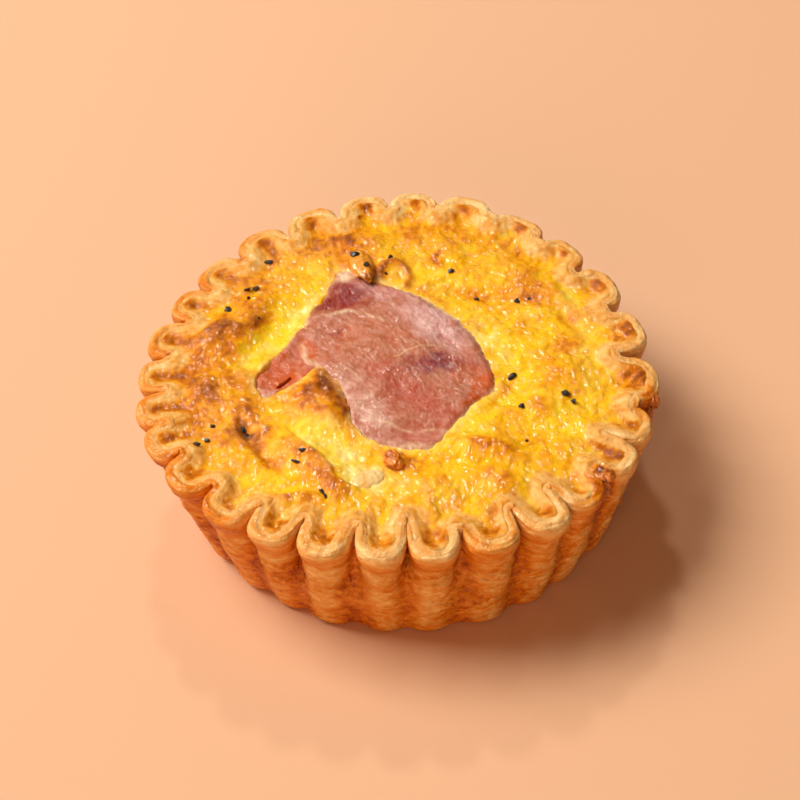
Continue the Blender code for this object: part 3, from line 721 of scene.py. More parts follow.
def custard_material(look):
    """Baked egg filling: golden to scorched by the stored browning, pale where it is creamy."""
    recipe = Recipe("baked_custard")
    browning = recipe.stored("browning")
    pale = recipe.stored("pale")
    freckles = recipe.noise(700.0, 3.0)
    speckled = recipe.arithmetic("MULTIPLY", recipe.between(freckles, 0.32, 0.68, -1.0, 1.0),
                                 recipe.between(browning, 0.25, 0.65, 0.04, 0.10))
    tone = recipe.arithmetic("ADD", browning, speckled)
    colour = recipe.ramp(tone, (
        (0.0, look.custard_bright), (0.28, look.custard_yellow), (0.48, look.custard_golden),
        (0.64, look.custard_orange), (0.82, look.custard_brown), (1.0, look.custard_scorched),
    ))
    colour = recipe.mixed(pale, colour, look.custard_pale)
    dough = recipe.ramp(tone, (
        (0.1, look.rim_pale), (0.32, look.rim_dough), (0.52, look.custard_orange),
        (0.78, look.custard_brown), (1.0, look.custard_scorched),
    ))
    crusty = recipe.stored("crusty")
    colour = recipe.mixed(crusty, colour, dough)
    normal = recipe.bump(recipe.noise(1500.0, 2.0), 0.0002, 0.6)
    normal = recipe.bump(recipe.noise(520.0, 1.0), 0.0005, 0.7, normal)
    wet = recipe.bump(recipe.noise(1150.0, 0.6, (1.0, 0.6, 1.0)), 0.0011, 1.0)
    return recipe.finish(
        Base_Color=colour, Roughness=recipe.between(freckles, 0.3, 0.7, 0.36, 0.5),
        Normal=normal, Specular_IOR_Level=0.05, Coat_Roughness=0.05, Coat_Normal=wet,
        Coat_Weight=recipe.between(crusty, 0.2, 1.0, 1.0, 0.4),
        Subsurface_Weight=0.3, Subsurface_Radius=(1.0, 0.65, 0.2), Subsurface_Scale=0.0015,
    )


def ham_material():
    """Cooked ham: the stored colour of each zone, some zones a painted sheen, mottled, wet and slightly
    see-through.
    """
    recipe = Recipe("cooked_ham")
    mottle = recipe.noise(620.0, 3.0)
    tint = recipe.stored("tint", "Color")
    deeper = recipe.add("ShaderNodeHueSaturation", "Color", Saturation=1.12, Value=0.86, Color=tint)
    colour = recipe.mixed(recipe.between(mottle, 0.42, 0.66), tint, deeper)
    paler = recipe.add("ShaderNodeHueSaturation", "Color", Saturation=0.72, Value=1.16, Color=tint)
    strands = recipe.grained(900.0, 2.0, STRAND_HEADING, 3.2)
    colour = recipe.mixed(recipe.between(strands, 0.50, 0.74, 0.0, 0.2), colour, paler)
    normal = recipe.bump(recipe.noise(1500.0, 3.0), 0.0002, 0.7)
    wet = recipe.bump(recipe.grained(1050.0, 1.0, STRAND_HEADING, 1.5), 0.0006, 1.0)
    return recipe.finish(
        Base_Color=colour, Roughness=recipe.between(mottle, 0.3, 0.7, 0.34, 0.5), Specular_IOR_Level=0.2,
        Normal=normal, Coat_Weight=recipe.between(recipe.noise(170.0, 2.0), 0.46, 0.62, 0.1, 0.6),
        Coat_Roughness=0.13, Coat_Normal=wet,
        Subsurface_Weight=0.22, Subsurface_Radius=(1.0, 0.35, 0.22), Subsurface_Scale=0.0016,
    )


def morsel_material(name, light, dark, scale, roughness, depth):
    """A cooked morsel: two colours mottled by noise, wet and slightly see-through."""
    recipe = Recipe(name)
    mottle = recipe.noise(scale, 3.0)
    colour = recipe.mixed(recipe.between(mottle, 0.48, 0.7), light, dark)
    normal = recipe.bump(recipe.noise(800.0, 1.0), 0.0004, 0.8)
    return recipe.finish(
        Base_Color=colour, Roughness=roughness, Normal=normal, Coat_Weight=0.4,
        Coat_Roughness=0.08, Subsurface_Weight=0.3, Subsurface_Radius=(1.0, 0.4, 0.12),
        Subsurface_Scale=depth,
    )


def pepper_material(look):
    """Cracked peppercorn: nearly black flakes with paler broken faces."""
    recipe = Recipe("cracked_pepper")
    patches = recipe.noise(1300.0, 2.0)
    colour = recipe.mixed(recipe.between(patches, 0.55, 0.72), look.pepper_dark, look.pepper_light)
    return recipe.finish(Base_Color=colour, Roughness=0.42, Coat_Weight=0.1, Coat_Roughness=0.2)


def floor_material(colour):
    """Plain matt floor."""
    recipe = Recipe("plain_floor")
    return recipe.finish(Base_Color=(*colour, 1.0), Roughness=0.85)


# ---- settings -------------------------------------------------------------------------------
def linear(red, green, blue):
    """Linear colour from the 0 to 255 steps of a picture."""
    share = np.array((red, green, blue)) / 255.0
    value = np.where(share <= 0.04045, share / 12.92, ((share + 0.055) / 1.055) ** 2.4)
    return tuple(float(part) for part in value)


def colour_setting(name, description, *steps):
    """A colour property with its default given as picture steps."""
    return FloatVectorProperty(name=name, description=description, subtype="COLOR", size=3,
                               min=0.0, max=1.0, default=linear(*steps))


def length_setting(name, description, default):
    """A length property in metres."""
    return FloatProperty(name=name, description=description, unit="LENGTH", subtype="DISTANCE",
                         default=default, min=0.0, precision=5)


class QUICHE_PG_crust(bpy.types.PropertyGroup):
    rim_radius: length_setting("Rim radius", "Mean radius of the rim", 48.5 * MM)
    foot_radius: length_setting("Foot radius", "Radius of the foot", 42.0 * MM)
    foot_shift: length_setting("Foot shift", "How far the foot is off the rim's middle", 1.3 * MM)
    foot_shift_angle: FloatProperty(name="Foot shift angle", subtype="ANGLE", unit="ROTATION",
                                    description="Direction of that shift",
                                    default=float(np.radians(-35.0)))
    dough: length_setting("Dough", "Thickness of the dough ribbon", 2.4 * MM)
    fold_rise: length_setting("Fold rise", "How far the folds stand over the flutes", 0.6 * MM)
    wrinkle: length_setting("Wrinkle depth", "Depth of the wrinkles on the wall", 0.6 * MM)
    pastry_pale: colour_setting("Pale pastry", "Least baked dough", 246, 212, 150)
    pastry_tan: colour_setting("Tan pastry", "Lip of the case", 232, 169, 90)
    pastry_baked: colour_setting("Baked pastry", "Wall of the case", 218, 127, 16)
    # Reached in the grooves partly through painted shade.
    pastry_brown: colour_setting("Brown pastry", "Grooves of the case", 178, 82, 6)
    pastry_scorched: colour_setting("Scorched pastry", "Darkest crumbs", 110, 40, 6)


class QUICHE_PG_custard(bpy.types.PropertyGroup):
    pebble: length_setting("Pebble height", "Height of the small bumps of the filling", 0.34 * MM)
    custard_bright: colour_setting("Bright custard", "Custard in the hollows", 255, 208, 24)
    custard_yellow: colour_setting("Yellow custard", "Most of the custard", 252, 180, 8)
    custard_golden: colour_setting("Golden custard", "Lightly browned custard", 234, 150, 4)
    custard_orange: colour_setting("Orange custard", "Browned custard", 206, 118, 4)
    custard_brown: colour_setting("Brown custard", "Well browned custard", 170, 90, 4)
    custard_scorched: colour_setting("Scorched custard", "Darkest crumbs", 134, 66, 8)
    rim_pale: colour_setting("Pale dough at the rim", "Palest dough inside the flutes", 246, 204, 132)
    rim_dough: colour_setting("Dough at the rim", "Custard baked on to the dough", 228, 162, 70)
    custard_pale: colour_setting("Pale custard", "Creamy custard", 255, 232, 150)


class QUICHE_PG_toppings(bpy.types.PropertyGroup):
    ham_base: colour_setting("Ham", "Most of the meat", 186, 118, 94)
    ham_pale: colour_setting("Pale ham", "Palest meat", 224, 184, 168)
    # Painted sheen: greyish pink that stands in for the wet reflection on the meat.
    ham_painted_sheen: colour_setting("Greyish ham", "Greyish pink meat", 222, 178, 176)
    ham_brown: colour_setting("Brown ham", "Browned meat", 196, 118, 82)
    ham_red: colour_setting("Red ham", "Red meat", 186, 92, 76)
    ham_deep: colour_setting("Deep red ham", "Deep red meat", 138, 34, 30)
    ham_purple: colour_setting("Purple ham", "Purplish meat", 136, 56, 66)
    ham_orange: colour_setting("Orange ham", "Reddish orange meat", 206, 96, 48)
    ham_crisp: colour_setting("Crisp ham", "Crisp browned edge", 196, 86, 22)
    ham_fat: colour_setting("Ham fat", "Fat and sinew of the ham", 246, 216, 180)
    pepper_dark: colour_setting("Pepper", "Skin of the peppercorns", 26, 22, 26)
    pepper_light: colour_setting("Pepper inside", "Broken faces of the peppercorns", 96, 84, 78)


class QUICHE_PG_stage(bpy.types.PropertyGroup):
    floor_colour: colour_setting("Floor", "Colour of the plain floor", 228, 182, 146)
    key_power: FloatProperty(name="Key power", description="Power of the soft key light",
                             unit="POWER", default=30.0, min=0.0)
    fill_power: FloatProperty(name="Fill power", description="Power of the fill light",
                              unit="POWER", default=5.0, min=0.0)
    sheen_power: FloatProperty(name="Sheen power", description="Power of the small light behind",
                               unit="POWER", default=2.6, min=0.0)
    world_strength: FloatProperty(name="World strength", description="Strength of the even light",
                                  default=0.14, min=0.0)
    key_colour: colour_setting("Key colour", "Colour of the key light", 255, 247, 236)
    world_colour: colour_setting("Even light", "Colour of the even light and the fill", 255, 210, 168)
    lens: FloatProperty(name="Lens", description="Focal length on a 36 mm sensor, in millimetres",
                        default=107.4, min=1.0)


# ---- pastry case ----------------------------------------------------------------------------
# Browned patches where filling ran over the ribbon, laid out like BROWNED.
SPILT = (
    (36.6, -31.0, 3.4, 1.8, -40, 0.42), (37.2, -27.2, 2.4, 1.8, -40, 0.40),
    (47.4, -8.0, 1.8, 2.6, 0, 0.40), (45.0, -12.0, 2.0, 2.0, 0, 0.24),
)


def crust_profile():
    """The profile's share, height and distance on every row, straight between the listed
    corners."""
    listed = np.array([row[:3] for row in CRUST_PROFILE])
    counts = np.array([row[3] for row in CRUST_PROFILE[:-1]])
    corner = np.concatenate([[0], np.cumsum(counts)])
    rows = np.arange(corner[-1] + 1)
    return [np.interp(rows, corner, listed[:, column]) for column in range(3)]


def rim_line(at):
    """How the rim's height strays along the ribbon, in metres."""
    slow, quick = noise(spread(at * 0.8, 0.0, 16.0), 14), noise(spread(at * 2.3, 0.0, 16.0), 15)
    return 0.32 * MM * (slow + 0.5 * quick)


def make_crust(crust):
    """Case of baked dough. Rows run from the middle of the underside up the wall, over the
    ribbon and down inside; columns run round the flutes. Wrinkles, flakes, pores and the line
    between the layers move the points along the normals."""
    share, height, distance = crust_profile()
    at = np.linspace(0.0, FLUTES, FLUTES * CRUST_POINTS_PER_FLUTE, endpoint=False)
    up = height[:, None]
    across = distance[:, None]
    from_lip = (height - distance)[:, None]

    def pattern(per_flute, rows, z, seed, layers=1):
        """Layered noise with so many cells to a flute and its second coordinate by rows."""
        return layered(spread(at[None, :] * per_flute, rows, z), seed, layers)

    rise = np.clip(height * MM / RIM_HEIGHT, 0.0, 1.0)
    tips = tipness(at)[None, :]
    outer = (distance > 0.0)[:, None]
    fold_share = np.where(distance >= -0.2, smooth_step(0.35, 0.95, rise), rise)
    wave = noise(spread(at * 0.9, 0.0, 4.0), 11) + 0.4 * noise(spread(at * 2.7, 0.0, 4.0), 12)
    slack = np.exp(-((height - LIP_HEIGHT) / 1.3) ** 2)[:, None] * outer
    level = up * MM + 0.8 * MM * slack * wave[None, :]
    swell = np.maximum(distance - HALF_DOUGH, 0.0)[:, None]
    width = 1.0 + 0.22 * noise(spread(at * 1.4, 0.0, 14.0), 13)[None, :]
    out = np.where(outer, np.minimum(distance, HALF_DOUGH)[:, None] + swell * (0.25 + 0.75 * tips),
                   across) * width * MM
    top_part = smooth_step(24.0, 27.0, height)[:, None]
    level = level + rim_line(at)[None, :] * top_part
    plan = np.stack([ribbon(at, level[row], fold_share[row], crust) for row in range(len(rise))])
    plan = sideways(plan, out * np.ones_like(at))
    middle = plan.mean(axis=1, keepdims=True)
    plan = plan + (middle - plan) * share[:, None, None]
    level = level - droop(at[None, :], rise[:, None], crust) * (share == 0.0)[:, None]
    points = np.concatenate([plan, level[..., None]], axis=2)

    # Relief: how far each point moves along its normal.
    arch = up + 1.5 * (1.0 - tips) + 0.7 * noise(spread(at * 1.3, 0.0, 8.0), 21)
    wall_part = smooth_step(0.6, 2.2, height)[:, None] * (1.0 - smooth_step(20.5, 23.0, height))[:, None]
    wall_part = wall_part * outer
    lip_part = smooth_step(22.0, 24.0, height)[:, None] * outer
    wrinkles = pattern(2.3, arch * 0.6, 0.0, 31, 3)
    creases = 1.0 - np.abs(pattern(1.3, arch * 0.6, 2.0, 35)) * 3.0
    phase = arch * 0.8 + 2.0 * pattern(2.0, arch * 0.3, 3.0, 33, 3)
    part = phase - np.floor(phase)
    flakes = part * smooth_step(1.0, 0.72, part)
    patches = 0.35 + 0.65 * smooth_step(-0.35, 0.35, pattern(0.8, up * 0.12, 6.0, 37))
    swellings = pattern(1.2, up * 0.16, 9.0, 41)
    pores = spots(spread(at[None, :] * 8.0, up * 0.85), 43)[0]
    pore = smooth_step(0.32, 0.10, pores)
    layer_lines = pattern(1.1, from_lip * 1.5, 5.0, 47)
    lamination = np.abs(across - 0.75 - 0.6 * noise(spread(at * 1.2, 0.0, 1.0), 51)[None, :])
    seam = np.exp(-(lamination / 0.3) ** 2) * (height > SEAM_HEIGHT)[:, None]
    seam = seam * smooth_step(-0.35, 0.15, noise(spread(at * 0.7, 0.0, 7.0), 53))[None, :]
    seam = seam * (0.1 + 0.9 * smooth_step(4.0, -18.0, points[..., 1] / MM))
    wrinkles = 0.6 * wrinkles + 1.1 * (flakes - 0.45)
    moved = wall_part * (wrinkles + 0.35 * np.clip(creases, 0.0, 1.0)) * patches * crust.wrinkle
    moved = moved + (wall_part * 0.34 + lip_part * 0.26) * MM * swellings
    moved = moved - pore * 0.13 * MM * (lip_part + 0.5 * wall_part)
    moved = moved + layer_lines * 0.06 * MM * lip_part - seam * 0.07 * MM
    rough_top = pattern(3.4, across * 0.45, 3.0, 55, 3)
    flaky = pattern(7.0, from_lip * 0.9, 4.0, 57, 2)
    moved = moved + top_part * 0.24 * MM * rough_top + lip_part * 0.12 * MM * flaky
    points = points + grid_normals(points) * moved[..., None]
    points[..., 2] = np.maximum(points[..., 2], 0.0)

    # Colour: how baked each point is, with painted shade and painted highlights added.
    groove = (1.0 - tips) ** 1.5
    low_edge = smooth_step(3.2, 0.3, height)[:, None] * outer
    bake = np.where(outer, 0.50, 0.26) * np.ones_like(tips)
    # Painted shade darkens the grooves, and painted highlights lighten the flute tips and the raised
    # wrinkles; the swellings are browner.
    painted_ridge_shading = 0.36 * groove - 0.13 * tips - 0.24 * wrinkles * patches + 0.16 * swellings + 0.02
    bake = bake + wall_part * painted_ridge_shading
    bake = bake - 0.8 * wall_part * np.maximum(bake - 0.62, 0.0)
    bake = bake - lip_part * smooth_step(24.0, 27.2, height)[:, None] * 0.25 + 0.12 * lip_part * swellings
    bake = bake + 0.10 * lip_part * pattern(2.6, from_lip * 0.7, 2.0, 63, 3)
    bake = bake + 0.08 * low_edge + 0.07 * layer_lines * lip_part + 0.14 * seam + 0.06 * pore * wall_part
    spilt = strayed(points[..., 0], points[..., 1], 65, 2.0, 0.8)
    bake = bake + ovals(*spilt, SPILT) * smooth_step(14.0, 20.0, height)[:, None]
    # Painted shade in the crease under the lip, darkest in the folds.
    crease_shade = np.exp(-((up - CREASE_HEIGHT) / 0.5) ** 2) * outer
    bake = bake + crease_shade * (0.16 + 0.25 * (1.0 - tips))
    # Painted highlights: the raised roughness of the top and the flakes of the lip are paler.
    bake = bake - 0.12 * top_part * rough_top - 0.10 * lip_part * flaky
    bake = bake + 0.05 * noise(points / (9 * MM), 61)
    # Painted shade: the wall and lip darken towards the left, against the strong key light there.
    bake = bake + 0.22 * smooth_step(-12.0, -44.0, points[..., 0] / MM) * (wall_part + lip_part)
    inner_face = (distance < -0.7)[:, None] * (height > 10.0)[:, None]
    bake = bake + 0.12 * inner_face
    rows, columns = bake.shape
    last = rows * columns
    centres = np.array([[*middle[0, 0], points[0, 0, 2]], [*middle[-1, 0], points[-1, 0, 2]]])
    points = np.concatenate([points.reshape(-1, 3), centres])
    # The flutes run clockwise, so these faces are turned over to point outwards.
    underside = fan(np.arange(columns), last)
    inside = fan(np.arange(last - columns, last), last + 1)[:, ::-1]
    quads = grid_faces(rows, columns, True)[:, (0, 3, 2, 1)]
    piece = add_piece("pastry_crust", points, [quads, underside, inside],
                      pastry_material(crust))
    set_values(piece, "bake", np.concatenate([bake.ravel(), [0.5, 0.3]]))
    # Where the shader paints the raised layers paler and the dips between them darker.
    flaky_part = np.broadcast_to(wall_part + 0.35 * lip_part, bake.shape)
    set_values(piece, "flaky", np.concatenate([flaky_part.ravel(), [0.3, 0.0]]))
    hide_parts("pastry_case")
    return piece


def ham_reach(outline, middle, turn):
    """Distance in millimetres from the middle to the ragged edge of a piece of ham at each
    angle."""
    corner = np.asarray(outline, float)
    plan = closed_curve(corner, np.linspace(0.0, len(corner), 4000, endpoint=False))
    away = plan - np.asarray(middle)
    angle = np.arctan2(away[:, 1], away[:, 0])
    ragged = layered(spread(plan[:, 0] / 2.6, plan[:, 1] / 2.6, 3.0), 91, 3)
    reach = np.linalg.norm(away, axis=1) + 0.5 * ragged
    order = np.argsort(angle)
    wrapped = np.arctan2(np.sin(turn), np.cos(turn))
    return np.interp(wrapped, angle[order], reach[order], period=2.0 * np.pi)


def under_ham(x, y, outline, middle):
    """How far each plan point is inside the edge of a piece of ham, in millimetres."""
    east, north = x / MM - middle[0], y / MM - middle[1]
    return ham_reach(outline, middle, np.arctan2(north, east)) - np.hypot(east, north)


# ---- filling --------------------------------------------------------------------------------
# Size of the browned crumbs in the recess of each flute, in millimetres, from the first flute.
RECESS_SIZES = (
    2.1, 2.3, 2.2, 2.0, 2.0, 2.2, 3.2, 3.6, 2.2,
    3.2, 2.2, 2.0, 2.4, 3.0, 2.2, 2.8, 2.8, 2.0,
    2.6, 2.4, 2.4, 2.2, 2.2, 2.2, 2.4, 2.4, 2.0,
)
# How browned they are, laid out in the same way.
RECESS_BROWNING = (
    0.70, 0.48, 0.42, 0.45, 0.45, 0.48, 0.60, 0.66, 0.42,
    0.62, 0.50, 0.52, 0.58, 0.66, 0.50, 0.68, 0.62, 0.40,
    0.52, 0.50, 0.52, 0.46, 0.45, 0.40, 0.42, 0.55, 0.60,
)
SKIN_EDGE = ((-20.5, -16.5), (-8.0, -31.5))    # ends of the line where the baked skin stops
SKIN_STEP = 0.8 * MM


def filling_outline(turn, crust):
    """Plan of the filling's edge at each angle: the inner face of the ribbon, a little into it,
    with the flute number there."""
    at = np.linspace(0.0, FLUTES, OUTLINE_POINTS, endpoint=False)
    plan = sideways(ribbon(at, FILL_LEVEL, 1.0, crust), FILL_OVERLAP)
    wanted = FLUTE_ANGLES[0] - np.mod(FLUTE_ANGLES[0] - np.degrees(turn), 360.0)
    number = np.interp(-wanted, -flute_angle(at), at)
    place = [np.interp(number, at, plan[:, axis], period=FLUTES) for axis in (0, 1)]
    return np.stack(place, axis=-1), number


def skin_edge(x, y):
    """How far each plan point lies on the browned side of the ragged line where the baked skin
    ends, in millimetres, and a share that fades out past the ends of the line."""
    east, north = strayed(x, y, 88, 5.0, 1.0)
    run = np.asarray(SKIN_EDGE[1]) - np.asarray(SKIN_EDGE[0])
    run = run / np.linalg.norm(run)
    east, north = east / MM - SKIN_EDGE[0][0], north / MM - SKIN_EDGE[0][1]
    over = run[1] * east - run[0] * north
    along = east * run[0] + north * run[1]
    length = np.linalg.norm(np.subtract(*SKIN_EDGE))
    return over, smooth_step(-2.0, 1.5, along) * smooth_step(length + 2.0, length - 2.0, along)


def outline_gap(plan, number, crust):
    """Distance from each plan point to the filling's outline: the least of the distances to the
    outline's points from one flute before the point's own number to one flute after."""
    steps = 40
    edge = sideways(ribbon(np.arange(FLUTES * steps) / steps, FILL_LEVEL, 1.0, crust), FILL_OVERLAP)
    own = np.floor(number * steps).astype(int)
    return np.min([np.linalg.norm(plan - edge[(own + shift) % len(edge)], axis=-1)
                   for shift in range(-steps, steps + 1)], axis=0)


def make_custard(custard, crust):
    """Filling on a square grid laid on a disc: a plain disc inside the core radius, drawn out
    to the ribbon's inner face beyond it. Mounds, bumps, pebbles and crumbs raise it."""
    ring, turn = disc_grid(FILL_GRID)
    outline, number = filling_outline(turn, crust)
    core_share = FILL_CORE / FILL_REACH
    inner = np.minimum(ring / core_share, 1.0) * FILL_CORE
    circle = np.stack([inner * np.cos(turn), inner * np.sin(turn)], axis=-1)
    outwards = np.clip((ring - core_share) / (1.0 - core_share), 0.0, 1.0)
    plan = circle + (outline - circle) * outwards[..., None]
    x, y = plan[..., 0], plan[..., 1]
    inward = (1.0 - outwards) * np.linalg.norm(outline - circle, axis=-1)
    gap = outline_gap(plan, number, crust)
    tips = tipness(number)

    soft = in_cells(x, y, 9.0, 1.5)
    medium = in_cells(x, y, 3.4, 2.5)
    fine = in_cells(x, y, 1.15, 0.5)
    sway = np.stack([noise(medium, 71), noise(medium, 72), 0.0 * x], axis=-1)
    lengthwise = spread((x * 0.8 + y * 0.6) / (2.4 * MM), (y * 0.8 - x * 0.6) / (1.7 * MM), 0.3)
    nearest, second = spots(lengthwise + 0.35 * sway, 73)
    rounded = -np.logaddexp(-8.0 * nearest, -8.0 * second) / 8.0
    pebbles = 0.75 - rounded + 0.2 * smooth_step(0.0, 0.6, second - nearest)
    swirls = noise(medium + 0.5 * sway, 74)
    hills = np.hypot(noise(0.62 * medium + 0.3 * sway, 82), 0.10)
    hills = hills + 0.4 * np.hypot(noise(1.3 * medium + 0.3 * sway, 83), 0.10) - 0.05
    crumbs = layered(fine + 0.6 * sway, 75, 2)

    number_away = (number - np.round(number)) * FLUTE_WIDTH * MM
    front = smooth_step(-22.0, -34.0, y / MM)
    streaks = layered(spread(number * 7.0, inward / (2.6 * MM), 0.0), 84, 2)
    amount = np.interp(number, np.arange(FLUTES), RECESS_BROWNING, period=FLUTES)
    size = np.interp(number, np.arange(FLUTES), RECESS_SIZES, period=FLUTES) * MM
    along = (inward - 2.6 * MM + 0.6 * MM * swirls) / (size * (1.4 - 0.6 * front))
    across = (number_away + 0.5 * MM * streaks) / (size * (0.33 + 0.22 * front))
    recess = amount * np.exp(-(along * along + across * across) ** 1.1) * smooth_step(0.3, 1.0, gap / MM)
    dough_reach = (2.8 + 0.8 * (1.0 - front) * (1.0 - tips) + 0.6 * swirls + 0.5 * streaks) * MM
    crusty = smooth_step(dough_reach + 0.8 * MM, dough_reach - 0.8 * MM, gap)

    ragged = strayed(x, y, 86, 3.0, 1.4)
    browning = BROWNING_EVERYWHERE + ovals(*ragged, BROWNED) + 0.24 * (hills - 0.42)
    browning = browning + 0.10 * noise(soft, 76) + 0.14 * layered(medium, 77, 2)
    smoothness = smooth_step(0.20, -0.05, browning)
    scabs = smooth_step(0.45, 0.85, browning)
    relief = (0.5 * swirls + 0.4 * pebbles) * custard.pebble * (1.0 - 0.75 * smoothness)
    relief = relief + 0.6 * MM * (hills - 0.42) * (1.0 - 0.5 * smoothness)
    swirl_x, swirl_y, half_width, half_length = SWIRL
    swirl_gap = np.hypot((x / MM - swirl_x) / half_width, (y / MM - swirl_y) / half_length) - 1.0
    swirl = np.exp(-(swirl_gap / 0.3) ** 2)
    crumb_height = 0.13 - 0.07 * smoothness + 0.2 * scabs + 0.3 * smooth_step(0.1, 0.4, recess)
    relief = relief + SWIRL_HEIGHT * swirl
    relief = relief + crumbs * MM * crumb_height
    edge_level = smooth_step((4.6 - 1.2 * front) * MM, 0.8 * MM, gap)
    hollow = tips ** 1.5 * (0.05 + 0.20 * front) * smooth_step(0.9, 2.4, gap / MM)
    dive = 0.34 * smooth_step(0.8, 0.0, gap / MM)
    rim = RIM_HEIGHT + MM * (0.20 - hollow - dive + 0.10 * streaks * smooth_step(0.2, 1.0, gap / MM))
    rim = rim + rim_line(number) - droop(number, 1.0, crust) + 0.35 * relief
    level = (filling_level(x, y) + relief) * (1.0 - edge_level) + rim * edge_level
    over, along_skin = skin_edge(x, y)
    skin = smooth_step(-0.5, 0.5, over) * smooth_step(6.0, 0.5, over) * along_skin
    level = level + SKIN_STEP * skin
    browning = browning + 0.24 * smooth_step(-0.2, 1.0, over) * smooth_step(4.6, 1.2, over) * along_skin
    browning = browning - 0.30 * smooth_step(0.2, -0.8, over) * smooth_step(-7.0, -3.0, over) * along_skin
    stain = np.zeros_like(x)
    for outline, middle, drop in HAM_PIECES:
        pocket = ham_level(x, y) + drop - HAM_THICKNESS
        inside = under_ham(x, y, outline, middle)
        near = smooth_step(-2.6, 0.0, inside) * smooth_step(-16.0, -6.0, x / MM + 0.25 * y / MM)
        level = level + near * (FILL_LEVEL + 0.1 * MM + relief * 0.5 - level)
        cover = smooth_step(0.5, 2.0, inside)
        level = level + cover * np.minimum(pocket - level, 0.0)
        stain = np.maximum(stain, smooth_step(-1.6, 0.2, inside + 0.7 * swirls))
    browning = browning + 0.07 * smooth_step(0.1, 0.8, swirls) + 0.06 * (pebbles - 0.5) + 0.09 * crumbs
    browning = browning + 0.50 * swirl * smooth_step(21.0, 26.0, y / MM)
    pale = 0.65 * ovals(*ragged, PALE) + 0.3 * stain
    pale = pale * smooth_step(-0.7, 0.3, layered(medium, 79, 2)) + 0.08 * noise(soft, 80)
    dough_bake = 0.26 + 0.02 * front + 0.12 * streaks + 0.08 * crumbs + 0.10 * swirls
    dough_bake = dough_bake + recess * (1.05 - 0.45 * front + 0.7 * crumbs)
    browning = browning + crusty * (dough_bake - browning) + 0.4 * recess * (1.0 - crusty)

    top = np.concatenate([plan, level[..., None]], axis=-1)
    round_foot = number.ravel()[grid_edge(FILL_GRID + 1)]
    foot = ribbon(round_foot, FILL_FOOT, FILL_FOOT_FOLD, crust) * FILL_FOOT_SHARE
    foot = np.column_stack([foot, np.full(len(foot), FILL_FOOT)])
    points, faces = close_over_foot(FILL_GRID, top, foot)
    piece = add_piece("custard", points, faces, custard_material(custard))
    plain = np.zeros(len(points) - browning.size)
    set_values(piece, "browning", np.concatenate([browning.ravel(), plain + 0.3]))
    set_values(piece, "pale", np.concatenate([np.clip(pale, 0.0, 1.0).ravel(), plain]))
    set_values(piece, "crusty", np.concatenate([crusty.ravel(), plain]))
    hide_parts("custard_filling")
    return piece


# ---- ham ------------------------------------------------------------------------------------
# Colour of the meat, and of a painted sheen, laid out like MOUNDS with an amount and a colour in place of the
# height.
HAM_ZONES = (
    (-5.5, 6.5, 9.0, 5.5, -20, 0.45, "brown"),
    (-12.2, 18.2, 6.8, 3.3, 24, 1.15, "deep"),      # dark fold near the top corner
    (-9.3, 19.7, 3.0, 1.4, 20, 0.55, "purple"),
    (-14.3, 16.0, 2.0, 1.0, 30, 0.60, "deep"),
    (-12.7, 9.4, 1.1, 0.9, 0, 0.65, "deep"),
    (7.2, 0.5, 6.4, 2.0, 6, 1.00, "purple"),
    # Painted sheen: greyish pink that stands in for the wet reflection, here and on the next line.
    (6.8, 10.8, 7.4, 4.2, -48, 0.80, "painted_sheen"),   # greyish pink at the back
    (-3.5, 20.2, 6.0, 2.0, -20, 0.45, "painted_sheen"),
    (-8.2, -8.6, 7.2, 3.0, -52, 0.70, "pale"),      # pale zone at the lower left
    (-3.8, -15.0, 4.5, 2.4, -40, 0.50, "pale"),
    (0.4, -4.8, 8.0, 3.2, -35, 0.75, "red"),
    (5.0, -11.5, 6.5, 3.2, -25, 0.60, "red"),
    (1.0, -17.0, 6.0, 1.6, -8, 0.50, "red"),
    (15.2, -4.0, 2.6, 7.0, 30, 0.45, "orange"),
    (15.8, -5.6, 6.4, 1.1, 56, 0.95, "crisp"),      # crisp right-hand edge
    (-22.4, -1.8, 6.0, 4.6, 45, 0.80, "orange"),    # tongue
    (-17.0, 5.6, 1.3, 3.6, 40, 0.65, "orange"),
    (-26.2, -7.0, 2.2, 1.8, 0, 0.60, "pale"),
    (-20.5, -6.2, 4.5, 1.1, 8, 0.60, "pale"),
    (-11.2, 25.4, 2.0, 2.4, 10, 0.80, "fat"),       # translucent top corner
    (3.0, -20.6, 6.5, 1.5, 0, 0.55, "fat"),         # clear fat at the front edge
    (10.6, -16.4, 1.2, 4.2, -45, 0.45, "fat"),
)
SINEWS = (
    ((-17.0, 13.1), (-13.5, 13.6), (-10.3, 15.0), (-7.0, 13.6), (-3.0, 11.6)),
    ((-19.2, 6.8), (-17.5, 2.2), (-15.1, -0.9), (-13.7, -5.6)),
    ((-1.0, 1.6), (4.0, 4.6), (9.0, 5.4)),
    ((-4.0, -14.0), (1.5, -16.4), (7.0, -16.0)),
)
SINEW_WIDTHS = (0.30, 0.55, 0.10, 0.14)
SLIT = ((-22.8, -4.6), (-20.6, -2.2))    # short dark slit in the tongue
FIBRE_HEADINGS = (-58.0, -6.0)           # way the meat runs at the back and at the front, degrees


